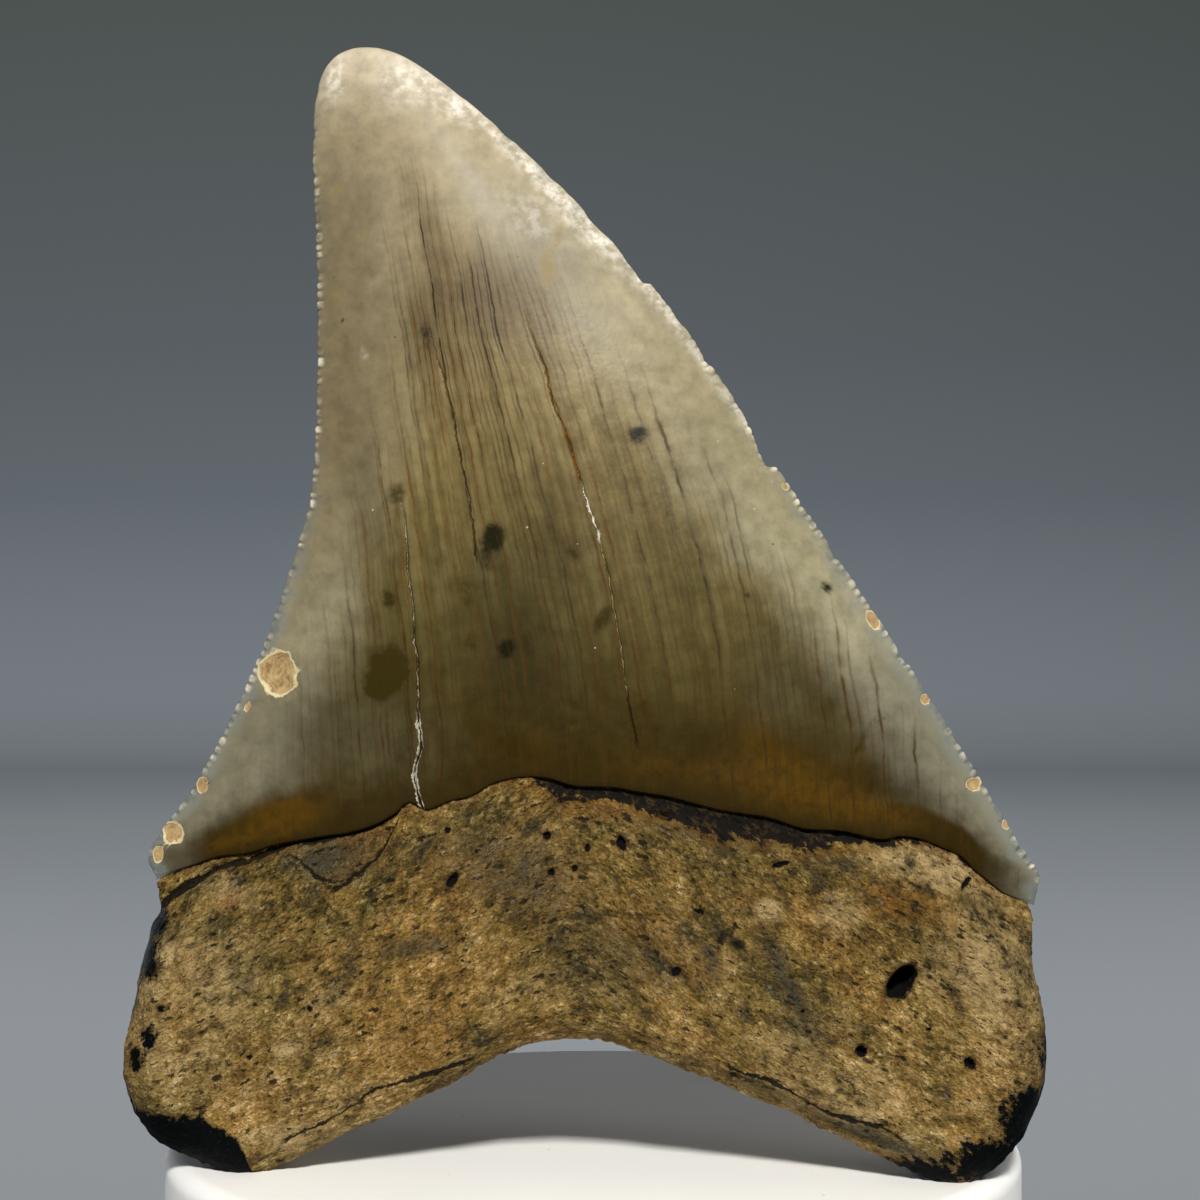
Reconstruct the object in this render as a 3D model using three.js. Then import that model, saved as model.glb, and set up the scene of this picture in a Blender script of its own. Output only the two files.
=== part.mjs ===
// A megalodon tooth that stands on its two root lobes on a low round display block.
// Millimetres, +Z up. The origin is the centre of the block's underside. The tooth's labial
// face, the flatter one, looks along -Y, and its tip hooks towards -X.

import * as THREE from "three";

// Display block
const BLOCK_HEIGHT = 24;
const BLOCK_RADIUS = 32.1;
const TOP_RIM_RADIUS = 1.4;
const BASE_RIM_RADIUS = 1.0;
const RIM_STEPS = 5;
const BLOCK_FACETS = 64;

// Place of the tooth: its middle plane is in front of the block's axis, and it is turned a
// little, so that its right side comes forward.
const TOOTH_X = 0.5;
const TOOTH_Y = -14.3;
const TOOTH_TURN_DEG = -3.2;

// Depths to each side of the middle plane
const CROWN_FRONT_DEPTH = 4.0;
const CROWN_BACK_DEPTH = 9.6;
const FRONT_LENS_POWER = 1.0;
const BACK_LENS_POWER = 0.8;
const TIP_BLUNTNESS = 0.5;
const ROOT_FRONT_MIDDLE = 4.3;
const ROOT_FRONT_END = 3.2;
const ROOT_BACK_DEPTH = 4.8;
const ROOT_BOSS_DEPTH = 7.8;
const ROOT_BOSS_Z = 20.5;
const ROOT_BOSS_HALF_WIDTH = 18;
const ROOT_BOSS_HALF_HEIGHT = 10;
const ROOT_FRONT_EDGE_RADIUS = 3.4;
const ROOT_BACK_EDGE_RADIUS = 6.5;
const CROWN_TO_ROOT_BLEND = 5;

// The middle plane bends back a little at the tip and at the lobes.
const TIP_BEND = 1.2;
const TIP_BEND_FROM_Z = 35;
const LOBE_BEND = 1.6;
const LOBE_BEND_FROM_Z = 13;

// Grid of the two faces
const COLUMNS = 32;
const CROWN_ROWS = 20;
const ROOT_ROWS = 14;
const OUTLINE_STEPS = 60;

// Outlines in the tooth's middle plane as x, z: x from the tooth's centre line, z above the
// block. The lobes reach under the block's top here, and are worn flat on it.
const LOBE_WEAR = 0.5;
const APEX = [-16.8, 79.6];
const LEFT_CORNER = [-31.5, 20.7];
const RIGHT_CORNER = [30.1, 19.5];
const LEFT_HEEL = [-33.3, 4.4];
const RIGHT_HEEL = [29.8, 3.6];
const LEFT_CUTTING_EDGE = [
  APEX,
  [-18.9, 78.6],
  [-20.2, 76.1],
  [-20.4, 72.3],
  [-20.0, 61.5],
  [-20.4, 48.0],
  [-21.2, 44.8],
  [-24.2, 36.2],
  [-28.9, 27.0],
  [-31.5, 23.6],
  [-32.0, 22.1],
  LEFT_CORNER,
];
const RIGHT_CUTTING_EDGE = [
  APEX,
  [-14.0, 78.9],
  [-10.4, 76.4],
  [-5.6, 72.2],
  [-0.4, 67.0],
  [4.6, 61.0],
  [8.7, 55.1],
  [11.7, 50.2],
  [16.4, 43.6],
  [23.2, 33.2],
  [29.3, 23.2],
  [30.5, 21.2],
  RIGHT_CORNER,
];
const ENAMEL_LINE = [
  LEFT_CORNER,
  [-24.5, 22.8],
  [-15.4, 25.0],
  [-8.6, 27.1],
  [-4.9, 28.4],
  [2.9, 27.4],
  [14.0, 24.9],
  [23.6, 23.5],
  [27.9, 20.3],
  RIGHT_CORNER,
];
const LEFT_ROOT_SIDE = [LEFT_CORNER, [-31.5, 18.6], [-33.0, 11.5], [-33.9, 7.2], LEFT_HEEL];
const RIGHT_ROOT_SIDE = [RIGHT_CORNER, [30.0, 15.8], [30.7, 11.8], [30.8, 7.2], RIGHT_HEEL];
const ROOT_UNDERSIDE = [
  LEFT_HEEL,
  [-31.6, 2.1],
  [-28.7, 0.7],
  [-25.4, -LOBE_WEAR],
  [-22.3, 0.6],
  [-15.1, 4.2],
  [-6.9, 8.5],
  [-1.7, 9.9],
  [5.3, 8.0],
  [15.9, 3.4],
  [21.2, 0.8],
  [24.7, -LOBE_WEAR],
  [27.3, 0.7],
  RIGHT_HEEL,
];

// A smooth curve through the points of an outline.
function outline(points) {
  const places = points.map(([x, z]) => new THREE.Vector3(x, 0, z));
  return new THREE.CatmullRomCurve3(places, false, "centripetal");
}

const leftCuttingEdge = outline(LEFT_CUTTING_EDGE);
const rightCuttingEdge = outline(RIGHT_CUTTING_EDGE);
const enamelLine = outline(ENAMEL_LINE);
const leftRootSide = outline(LEFT_ROOT_SIDE);
const rightRootSide = outline(RIGHT_ROOT_SIDE);
const rootUnderside = outline(ROOT_UNDERSIDE);

const rootOutline = [leftRootSide, rootUnderside, rightRootSide].flatMap((curve) =>
  curve.getSpacedPoints(OUTLINE_STEPS),
);

// The distance from a point of the middle plane to the root's outline.
function distanceToRootOutline(place) {
  const distances = rootOutline.map((point) => point.distanceTo(place));
  return Math.min(...distances);
}

// A bell curve of height 1 whose half width is the distance where it falls to 37%.
function bell(offset, halfWidth) {
  return Math.exp(-((offset / halfWidth) ** 2));
}

// The height of a quarter-round edge at a distance in from it, as a share of the full height.
function quarterRound(distance, radius) {
  const left = 1 - Math.min(distance / radius, 1);
  return Math.sqrt(1 - left * left);
}

// How far the middle plane bends back at a height.
function bend(z) {
  const tipShare = THREE.MathUtils.clamp((z - TIP_BEND_FROM_Z) / (APEX[1] - TIP_BEND_FROM_Z), 0, 1);
  const lobeShare = THREE.MathUtils.clamp((LOBE_BEND_FROM_Z - z) / LOBE_BEND_FROM_Z, 0, 1);
  return TIP_BEND * tipShare ** 2 + LOBE_BEND * THREE.MathUtils.smoothstep(lobeShare, 0, 1);
}

// The crown's depths: a lens across, blunt at the tip.
function crownDepths(across, down) {
  const lens = 4 * across * (1 - across);
  const growth = down ** TIP_BLUNTNESS;
  return {
    front: CROWN_FRONT_DEPTH * growth * lens ** FRONT_LENS_POWER,
    back: CROWN_BACK_DEPTH * growth * lens ** BACK_LENS_POWER,
  };
}

// The root's depths: a flat labial face and a lingual boss, both with rounded edges.
function rootDepths(place) {
  const distance = distanceToRootOutline(place);
  const middle = bell(place.x, ROOT_BOSS_HALF_WIDTH);
  const boss = middle * bell(place.z - ROOT_BOSS_Z, ROOT_BOSS_HALF_HEIGHT);
  const frontFace = THREE.MathUtils.lerp(ROOT_FRONT_END, ROOT_FRONT_MIDDLE, middle);
  const backFace = ROOT_BACK_DEPTH + ROOT_BOSS_DEPTH * boss;
  return {
    front: frontFace * quarterRound(distance, ROOT_FRONT_EDGE_RADIUS),
    back: backFace * quarterRound(distance, ROOT_BACK_EDGE_RADIUS),
  };
}

// Shares from 0 to 1, closer together at both ends.
function sharesAcross() {
  return Array.from({ length: COLUMNS + 1 }, (_, column) => {
    return (1 - Math.cos((Math.PI * column) / COLUMNS)) / 2;
  });
}

// A row of the crown: straight between the cutting edges near the tip, and bent like the
// enamel line near the root.
function crownRow(down) {
  const left = leftCuttingEdge.getPointAt(down);
  const right = rightCuttingEdge.getPointAt(down);
  const leftEnd = leftCuttingEdge.getPointAt(1);
  const rightEnd = rightCuttingEdge.getPointAt(1);
  return sharesAcross().map((across) => {
    const chord = new THREE.Vector3().lerpVectors(leftEnd, rightEnd, across);
    const lift = enamelLine.getPointAt(across).sub(chord).multiplyScalar(down ** 2);
    const place = new THREE.Vector3().lerpVectors(left, right, across).add(lift);
    return { place, ...crownDepths(across, down) };
  });
}

// A row of the root: a patch between the enamel line, the two sides and the underside.
function rootRow(down) {
  const left = leftRootSide.getPointAt(down);
  const right = rightRootSide.getPointAt(down);
  const leftTop = leftRootSide.getPointAt(0);
  const rightTop = rightRootSide.getPointAt(0);
  const leftEnd = leftRootSide.getPointAt(1);
  const rightEnd = rightRootSide.getPointAt(1);
  return sharesAcross().map((across) => {
    const above = enamelLine.getPointAt(across);
    const below = rootUnderside.getPointAt(across);
    const ruled = new THREE.Vector3().lerpVectors(above, below, down);
    const sides = new THREE.Vector3().lerpVectors(left, right, across);
    const topChord = new THREE.Vector3().lerpVectors(leftTop, rightTop, across);
    const endChord = new THREE.Vector3().lerpVectors(leftEnd, rightEnd, across);
    const corners = new THREE.Vector3().lerpVectors(topChord, endChord, down);
    const place = ruled.add(sides).sub(corners);
    const share = THREE.MathUtils.smoothstep(place.distanceTo(above), 0, CROWN_TO_ROOT_BLEND);
    const crown = crownDepths(across, 1);
    const root = rootDepths(place);
    return {
      place,
      front: THREE.MathUtils.lerp(crown.front, root.front, share),
      back: THREE.MathUtils.lerp(crown.back, root.back, share),
    };
  });
}

// All rows under the apex, from the tip to the root's underside.
function toothRows() {
  const rows = [];
  for (let row = 1; row <= CROWN_ROWS; row += 1) {
    rows.push(crownRow((row / CROWN_ROWS) ** 1.2));
  }
  for (let row = 1; row <= ROOT_ROWS; row += 1) {
    rows.push(rootRow(Math.sin((Math.PI * row) / (2 * ROOT_ROWS))));
  }
  return rows;
}

// The tooth as one closed surface: a labial sheet and a lingual sheet that share the outline.
function toothGeometry() {
  const positions = [];
  const triangles = [];
  const rows = toothRows();
  const lastRow = rows.length - 1;

  function addVertex(x, y, z) {
    positions.push(x, y, Math.max(z, 0));
    return positions.length / 3 - 1;
  }

  const apexBend = bend(APEX[1]);
  const apex = addVertex(APEX[0], apexBend, APEX[1]);
  const front = [];
  const back = [];
  rows.forEach((row, rowNumber) => {
    front.push([]);
    back.push([]);
    row.forEach(({ place, front: frontDepth, back: backDepth }, column) => {
      const middle = bend(place.z);
      const onOutline = column === 0 || column === COLUMNS || rowNumber === lastRow;
      if (onOutline) {
        const shared = addVertex(place.x, middle, place.z);
        front[rowNumber].push(shared);
        back[rowNumber].push(shared);
      } else {
        front[rowNumber].push(addVertex(place.x, middle - frontDepth, place.z));
        back[rowNumber].push(addVertex(place.x, middle + backDepth, place.z));
      }
    });
  });

  for (let column = 0; column < COLUMNS; column += 1) {
    triangles.push(apex, front[0][column], front[0][column + 1]);
    triangles.push(apex, back[0][column + 1], back[0][column]);
  }
  for (let row = 0; row < lastRow; row += 1) {
    for (let column = 0; column < COLUMNS; column += 1) {
      const [a, b] = [front[row][column], front[row][column + 1]];
      const [c, d] = [front[row + 1][column], front[row + 1][column + 1]];
      triangles.push(a, c, b, b, c, d);
      const [e, f] = [back[row][column], back[row][column + 1]];
      const [g, h] = [back[row + 1][column], back[row + 1][column + 1]];
      triangles.push(e, f, g, f, h, g);
    }
  }

  const geometry = new THREE.BufferGeometry();
  geometry.setAttribute("position", new THREE.Float32BufferAttribute(positions, 3));
  geometry.setIndex(triangles);
  geometry.computeVertexNormals();
  return geometry;
}

// Points of a quarter-round rim about a centre, from one angle to the next quarter.
function rim(centreRadius, centreZ, radius, fromAngle) {
  return Array.from({ length: RIM_STEPS + 1 }, (_, step) => {
    const angle = fromAngle + (Math.PI / 2) * (step / RIM_STEPS);
    return new THREE.Vector2(
      centreRadius + radius * Math.cos(angle),
      centreZ + radius * Math.sin(angle),
    );
  });
}

// The block: a plain round slab with a flat top and underside and softened rims.
function blockGeometry() {
  const profile = [
    new THREE.Vector2(0, 0),
    ...rim(BLOCK_RADIUS - BASE_RIM_RADIUS, BASE_RIM_RADIUS, BASE_RIM_RADIUS, -Math.PI / 2),
    ...rim(BLOCK_RADIUS - TOP_RIM_RADIUS, BLOCK_HEIGHT - TOP_RIM_RADIUS, TOP_RIM_RADIUS, 0),
    new THREE.Vector2(0, BLOCK_HEIGHT),
  ];
  const geometry = new THREE.LatheGeometry(profile, BLOCK_FACETS);
  geometry.rotateX(Math.PI / 2);
  return geometry;
}

const fossil = new THREE.MeshStandardMaterial({ color: 0x8c7a52, roughness: 0.55, metalness: 0 });
const whiteBlock = new THREE.MeshStandardMaterial({ color: 0xe9e8e4, roughness: 0.35, metalness: 0 });

const tooth = new THREE.Mesh(toothGeometry(), fossil);
tooth.name = "tooth";
tooth.position.set(TOOTH_X, TOOTH_Y, BLOCK_HEIGHT);
tooth.rotation.z = THREE.MathUtils.degToRad(TOOTH_TURN_DEG);

const displayBlock = new THREE.Mesh(blockGeometry(), whiteBlock);
displayBlock.name = "display_block";

const model = new THREE.Group();
model.name = "megalodon_tooth_on_block";
model.add(displayBlock, tooth);

export default model;
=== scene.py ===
"""A megalodon tooth that stands on its two root lobes on a low round white block.

Sizes are in millimetres in the dataclasses and in metres in the finished meshes. The tooth has
a plane of its own, through its cutting edges, with x to the right, z up from the block's top
and depth towards the back. Its labial face, the flatter one, is the front.
"""

import logging
import math
from dataclasses import dataclass
from enum import Enum
from functools import cached_property

import bpy
import numpy as np
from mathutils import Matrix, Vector


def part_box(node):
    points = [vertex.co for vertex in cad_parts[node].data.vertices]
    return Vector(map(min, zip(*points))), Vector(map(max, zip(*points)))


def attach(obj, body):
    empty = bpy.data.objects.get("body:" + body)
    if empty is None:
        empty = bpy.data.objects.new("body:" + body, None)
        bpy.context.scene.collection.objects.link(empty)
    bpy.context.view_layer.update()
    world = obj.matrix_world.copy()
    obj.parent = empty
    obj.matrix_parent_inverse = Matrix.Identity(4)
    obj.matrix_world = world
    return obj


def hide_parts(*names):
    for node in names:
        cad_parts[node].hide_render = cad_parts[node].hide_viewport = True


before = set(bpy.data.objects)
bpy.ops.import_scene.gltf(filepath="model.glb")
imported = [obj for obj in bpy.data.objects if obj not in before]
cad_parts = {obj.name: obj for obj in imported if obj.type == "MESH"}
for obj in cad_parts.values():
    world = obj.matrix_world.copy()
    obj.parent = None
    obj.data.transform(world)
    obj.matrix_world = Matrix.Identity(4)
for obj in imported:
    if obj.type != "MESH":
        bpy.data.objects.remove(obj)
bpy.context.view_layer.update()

Array = np.ndarray
Material = bpy.types.Material
Object = bpy.types.Object
Outputs = bpy.types.NodeOutputs
Socket = bpy.types.NodeSocket
Tree = bpy.types.NodeTree

LOG = logging.getLogger("megalodon_tooth")
MM = 0.001
ROOT_BODY = "root"
TOOTH_NODE = "tooth"
BLOCK_NODE = "display_block"
# The kinds of node that come up often
MATH = "ShaderNodeMath"
RANGE = "ShaderNodeMapRange"
NOISE = "ShaderNodeTexNoise"
CELLS = "ShaderNodeTexVoronoi"
STORED = "ShaderNodeAttribute"
PARTS = "ShaderNodeSeparateXYZ"
TONES = "ShaderNodeSeparateColor"
VECTOR = "ShaderNodeVectorMath"
BLEND = "ShaderNodeMix"
NAMED = "GeometryNodeInputNamedAttribute"
STORE = "GeometryNodeStoreNamedAttribute"
# How a softened range eases in and out
SOFT = "SMOOTHSTEP"
# A reach well past the rim of every mark
FAR_REACH = 3.0
# The middle of the root's arch and the slope of its sides, on the tooth's plane
ARCH_MIDDLE = -1.7
ARCH_SLOPE = 0.43


class Face(Enum):
    """The two broad faces of the tooth, with the sign of their depth."""

    LABIAL = -1
    LINGUAL = 1


class Slot(Enum):
    """The record's material slots."""

    FOSSIL = "fossil_tooth"
    BLOCK = "white_block"


def linear(colour: str) -> tuple[float, float, float, float]:
    """Turn an sRGB hex colour into linear light.

    Args:
        colour: The colour as "#rrggbb".

    Returns:
        Red, green, blue and alpha as a shader takes them.
    """
    parts = [int(colour[i : i + 2], 16) / 255 for i in (1, 3, 5)]
    light = [c / 12.92 if c <= 0.04045 else ((c + 0.055) / 1.055) ** 2.4 for c in parts]
    return (*light, 1.0)


def add(
    tree: Tree,
    kind: str,
    *inputs: object,
    out: str | int = 0,
    **settings: object,
) -> Socket | None:
    """Add a node with its settings and links.

    Args:
        tree: The shader or geometry tree.
        kind: The node's type, such as "ShaderNodeMath".
        inputs: Its first inputs in order: constants, sockets that feed them, or None.
        out: The name or number of the output that is wanted.
        settings: A capitalised name is an input, by its identifier or its name with _ for a
            space, and any other is a property. "stops" fills a ramp with places and hex
            colours, and "points" a curve.

    Returns:
        The wanted output socket, or None for a node without outputs.
    """
    node = tree.nodes.new(kind)
    stops = settings.pop("stops", ())
    points = settings.pop("points", ())
    named = {name: value for name, value in settings.items() if name[0].isupper()}
    for name in settings.keys() - named.keys():
        setattr(node, name, settings[name])
    sockets = {socket.identifier: socket for socket in node.inputs}
    feeds = list(zip(node.inputs, inputs))
    for name, value in named.items():
        feeds.append((sockets.get(name) or node.inputs[name.replace("_", " ")], value))
    for _ in stops[2:]:
        node.color_ramp.elements.new(1.0)
    for element, (place, colour) in zip(node.color_ramp.elements if stops else (), stops):
        element.position = place
        element.color = linear(colour)
    for _ in points[2:]:
        node.mapping.curves[0].points.new(0.5, 0.5)
    for point, place in zip(node.mapping.curves[0].points if points else (), points):
        point.location = place
    for socket, value in feeds:
        if isinstance(value, Socket):
            tree.links.new(value, socket)
        elif value is not None:
            socket.default_value = value
    return node.outputs[out] if node.outputs else None


def product(tree: Tree, share: Socket, *others: object) -> Socket:
    """Multiply several numbers in order.

    Args:
        tree: The shader or geometry tree.
        share: The first number.
        others: The others, constants or sockets.

    Returns:
        The product's socket.
    """
    for other in others:
        share = add(tree, MATH, share, other, operation="MULTIPLY")
    return share


class Finish:
    """A material in the making. Each finish is a subclass that names it and fills it."""

    title = "finish"

    @cached_property
    def made(self) -> Material:
        """The new material, with an empty tree.

        Returns:
            The material, which is made once.
        """
        made = bpy.data.materials.new(self.title)
        made.use_nodes = True
        made.node_tree.nodes.clear()
        return made

    def add(self, kind: str, *inputs: object, **settings: object) -> Socket | None:
        """Add a node to the material, in the way of the function of this name."""
        return add(self.made.node_tree, kind, *inputs, **settings)

    def times(self, share: Socket, *others: object) -> Socket:
        """The product of several shares."""
        return product(self.made.node_tree, share, *others)

    def summed(self, total: object, *parts: tuple[object, object]) -> Socket:
        """A weighted sum.

        Args:
            total: What it starts from.
            parts: Pairs of what is added and its weight.

        Returns:
            The sum.
        """
        for part, weight in parts:
            total = self.add(MATH, part, weight, total, operation="MULTIPLY_ADD")
        return total

    def lay(self, colour: object, *layers: tuple[object, object]) -> Socket:
        """Lay paints over a colour in order, each where its own share is.

        Args:
            colour: The colour under them.
            layers: Pairs of a share and a paint, which is a hex colour or a socket.

        Returns:
            The colour on top.
        """
        for share, paint in layers:
            under, over = (linear(c) if isinstance(c, str) else c for c in (colour, paint))
            colour = self.add(BLEND, share, A_Color=under, B_Color=over,
                              data_type="RGBA", out=2)
        return colour

    def close(self, **settings: object) -> Material:
        """End the tree in the shader that these settings describe."""
        self.add("ShaderNodeOutputMaterial", self.add("ShaderNodeBsdfPrincipled", **settings))
        return self.made


def shape_tree(title: str, sizes: dict[str, float]) -> tuple[Tree, dict[str, Socket], Socket]:
    """Start a Geometry Nodes tree with named inputs for its sizes.

    Args:
        title: The tree's name.
        sizes: The inputs' names, with their values.

    Returns:
        The tree, its inputs' sockets by name, and the socket of the shape that comes in.
    """
    tree = bpy.data.node_groups.new(title, "GeometryNodeTree")
    tree.interface.new_socket("Geometry", in_out="INPUT", socket_type="NodeSocketGeometry")
    for name, value in sizes.items():
        made = tree.interface.new_socket(name, in_out="INPUT", socket_type="NodeSocketFloat")
        made.default_value = value
    tree.interface.new_socket("Geometry", in_out="OUTPUT", socket_type="NodeSocketGeometry")
    start = tree.nodes.new("NodeGroupInput")
    return tree, {name: start.outputs[name] for name in sizes}, start.outputs[0]


def apply_shape(
    piece: Object,
    tree: Tree,
    shape: Socket,
    sizes: dict[str, Socket],
    material: Material,
) -> None:
    """End a Geometry Nodes tree and turn its result into the piece's plain mesh.

    Args:
        piece: The piece that the tree shapes.
        tree: The tree.
        shape: The socket of the finished shape.
        sizes: The tree's inputs by name.
        material: The material that the tree sets.
    """
    solid = add(tree, "GeometryNodeRealizeInstances", shape)
    add(tree, "NodeGroupOutput", add(tree, "GeometryNodeSetMaterial", solid, Material=material))
    modifier = piece.modifiers.new(tree.name, "NODES")
    modifier.node_group = tree
    for item in tree.interface.items_tree:
        if item.in_out == "INPUT" and item.name in sizes:
            modifier[item.identifier] = item.default_value
    plain_mesh(piece)


def smooth(value: Array, low: float, high: float) -> Array:
    """Rise smoothly from 0 at low to 1 at high.

    Args:
        value: The values to ease.
        low: Where the rise starts.
        high: Where it ends.

    Returns:
        The eased shares.
    """
    share = np.clip((value - low) / (high - low), 0.0, 1.0)
    return share * share * (3.0 - 2.0 * share)


def bell(offset: Array, half_width: float) -> Array:
    """A bell curve of height 1 that falls to 37% at its half width."""
    return np.exp(-((offset / half_width) ** 2))


def quarter_round(distance: Array, radius: float) -> Array:
    """The height of a quarter-round edge at a distance in from it, as a share of the whole."""
    left = 1.0 - np.clip(distance / radius, 0.0, 1.0)
    return np.sqrt(np.maximum(1.0 - left * left, 0.0))


@dataclass(frozen=True)
class SmoothCurve:
    """A centripetal Catmull-Rom curve through points of the tooth's plane."""

    points: tuple[tuple[float, float], ...]
    steps_per_span: int = 40

    @cached_property
    def line(self) -> Array:
        """Close points along the curve, as rows of x and z.

        Returns:
            The points, from the first to the last.
        """
        given = np.array(self.points)
        before = 2 * given[0] - given[1]
        after = 2 * given[-1] - given[-2]
        knots = np.vstack([before, given, after])
        places = []
        for p0, p1, p2, p3 in zip(knots, knots[1:], knots[2:], knots[3:]):
            t0 = 0.0
            t1 = t0 + math.sqrt(np.linalg.norm(p1 - p0))
            t2 = t1 + math.sqrt(np.linalg.norm(p2 - p1))
            t3 = t2 + math.sqrt(np.linalg.norm(p3 - p2))
            t = np.linspace(t1, t2, self.steps_per_span, endpoint=False)[:, None]
            a1 = (t1 - t) / (t1 - t0) * p0 + (t - t0) / (t1 - t0) * p1
            a2 = (t2 - t) / (t2 - t1) * p1 + (t - t1) / (t2 - t1) * p2
            a3 = (t3 - t) / (t3 - t2) * p2 + (t - t2) / (t3 - t2) * p3
            b1 = (t2 - t) / (t2 - t0) * a1 + (t - t0) / (t2 - t0) * a2
            b2 = (t3 - t) / (t3 - t1) * a2 + (t - t1) / (t3 - t1) * a3
            places.append((t2 - t) / (t2 - t1) * b1 + (t - t1) / (t2 - t1) * b2)
        places.append(given[-1:])
        return np.vstack(places)

    @cached_property
    def lengths(self) -> Array:
        """The length along the curve at each point of its line."""
        steps = np.linalg.norm(np.diff(self.line, axis=0), axis=1)
        return np.concatenate([[0.0], np.cumsum(steps)])

    def at(self, share: Array) -> Array:
        """The points at shares of the curve's length, with x and z as the last axis.

        Args:
            share: Shares from 0 to 1.

        Returns:
            The points.
        """
        length = np.asarray(share) * self.lengths[-1]
        x = np.interp(length, self.lengths, self.line[:, 0])
        z = np.interp(length, self.lengths, self.line[:, 1])
        return np.stack([x, z], axis=-1)

    def height_at(self, x: Array) -> Array:
        """The curve's z at given x, for a curve that runs from left to right."""
        return np.interp(x, self.line[:, 0], self.line[:, 1])


@dataclass(frozen=True)
class ToothForm:
    """The outlines and depths of the tooth in its own plane, in millimetres."""

    block_top: float
    place_x: float = 0.5
    place_y: float = -14.3
    turn_deg: float = -3.2
    crown_front: float = 4.0
    crown_back: float = 9.6
    front_lens: float = 1.0
    back_lens: float = 0.8
    tip_bluntness: float = 0.5
    tip_reach: float = 0.13
    root_front_middle: float = 4.3
    root_front_end: float = 3.2
    root_back: float = 4.8
    boss_depth: float = 7.8
    boss_z: float = 20.5
    boss_half_width: float = 18.0
    boss_half_height: float = 10.0
    front_edge_radius: float = 3.4
    back_edge_radius: float = 6.5
    tip_bend: float = 1.2
    tip_bend_from: float = 35.0
    lobe_bend: float = 1.6
    lobe_bend_from: float = 13.0
    apex: tuple[float, float] = (-16.8, 79.6)
    left_corner: tuple[float, float] = (-31.5, 20.8)
    right_corner: tuple[float, float] = (30.1, 19.5)
    left_heel: tuple[float, float] = (-33.3, 4.4)
    right_heel: tuple[float, float] = (29.8, 3.6)
    lobe_wear: float = 0.5

    @cached_property
    def left_edge(self) -> SmoothCurve:
        """The concave cutting edge, from the tip down."""
        return SmoothCurve((
            self.apex, (-17.7, 79.5), (-18.8, 79.0), (-19.7, 77.9), (-20.2, 76.1), (-20.4, 72.3),
            (-20.0, 61.5), (-20.4, 48.0), (-21.2, 44.8), (-24.2, 36.2), (-28.9, 27.0),
            (-31.4, 23.6), (-32.0, 22.2), self.left_corner,
        ))

    @cached_property
    def right_edge(self) -> SmoothCurve:
        """The convex cutting edge, from the tip down."""
        return SmoothCurve((
            self.apex, (-15.7, 79.5), (-14.0, 78.9), (-10.4, 76.4), (-5.6, 72.2), (-0.4, 67.0),
            (4.6, 61.2), (8.8, 55.3), (12.0, 50.2), (16.4, 43.6), (23.2, 33.2), (29.3, 23.2),
            (30.5, 21.2), self.right_corner,
        ))

    @cached_property
    def front_line(self) -> SmoothCurve:
        """The line where the enamel ends on the labial face, from left to right."""
        return SmoothCurve((
            self.left_corner, (-30.0, 21.4), (-28.2, 22.0), (-26.7, 22.5), (-24.5, 22.8),
            (-22.7, 23.4), (-19.1, 24.1), (-17.3, 24.4), (-15.4, 25.0), (-14.0, 25.8),
            (-13.0, 26.6), (-11.8, 26.1), (-10.1, 26.7), (-8.6, 27.1), (-7.0, 28.0),
            (-4.9, 28.4), (-3.3, 28.3), (-1.5, 27.8), (1.2, 27.7), (2.9, 27.4), (4.8, 27.1),
            (8.3, 26.2), (11.9, 25.6), (14.0, 24.9), (16.7, 24.7), (19.6, 24.1), (20.7, 24.3),
            (22.1, 24.1), (23.6, 23.5), (24.9, 22.9), (25.9, 21.9), (26.9, 21.1), (27.9, 20.3),
            (29.0, 19.8), self.right_corner,
        ))

    @cached_property
    def back_line(self) -> SmoothCurve:
        """The line where the crown ends on the lingual face: a wide chevron, from left to right."""
        return SmoothCurve((
            self.left_corner, (-28.0, 22.6), (-22.0, 24.6), (-15.0, 27.0), (-8.0, 29.6),
            (-2.0, 31.2), (1.0, 31.3), (6.0, 30.0), (13.0, 27.0), (20.0, 24.6), (26.0, 22.0),
            self.right_corner,
        ))

    @cached_property
    def left_side(self) -> SmoothCurve:
        """The root's left side, from the enamel line down."""
        return SmoothCurve((
            self.left_corner, (-31.3, 19.6), (-31.1, 18.4), (-31.6, 17.6), (-32.1, 15.8),
            (-33.0, 11.5), (-33.9, 7.2), self.left_heel,
        ))

    @cached_property
    def right_side(self) -> SmoothCurve:
        """The root's right side, from the enamel line down."""
        return SmoothCurve((
            self.right_corner, (30.0, 17.8), (30.0, 15.1), (30.7, 11.8), (30.9, 7.2),
            self.right_heel,
        ))

    @cached_property
    def underside(self) -> SmoothCurve:
        """The root's lower outline, from lobe to lobe over the arch. The lobes are worn flat."""
        return SmoothCurve((
            self.left_heel, (-31.6, 2.1), (-28.7, 0.7), (-25.4, -self.lobe_wear), (-22.3, 0.6),
            (-18.7, 2.3), (-15.1, 4.2), (-11.5, 6.0), (-6.9, 8.6), (-4.2, 9.6), (-1.7, 9.9),
            (0.8, 9.6), (5.3, 8.0), (11.0, 5.7), (15.9, 3.4), (21.2, 0.8),
            (24.7, -self.lobe_wear), (27.3, 0.7), self.right_heel,
        ))

    @cached_property
    def root_outline(self) -> Array:
        """Close points round the root's sides and underside.

        Returns:
            Rows of x and z.
        """
        shares = np.linspace(0.0, 1.0, 240)
        return np.vstack([
            self.left_side.at(shares),
            self.underside.at(shares),
            self.right_side.at(shares)[::-1],
        ])

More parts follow.
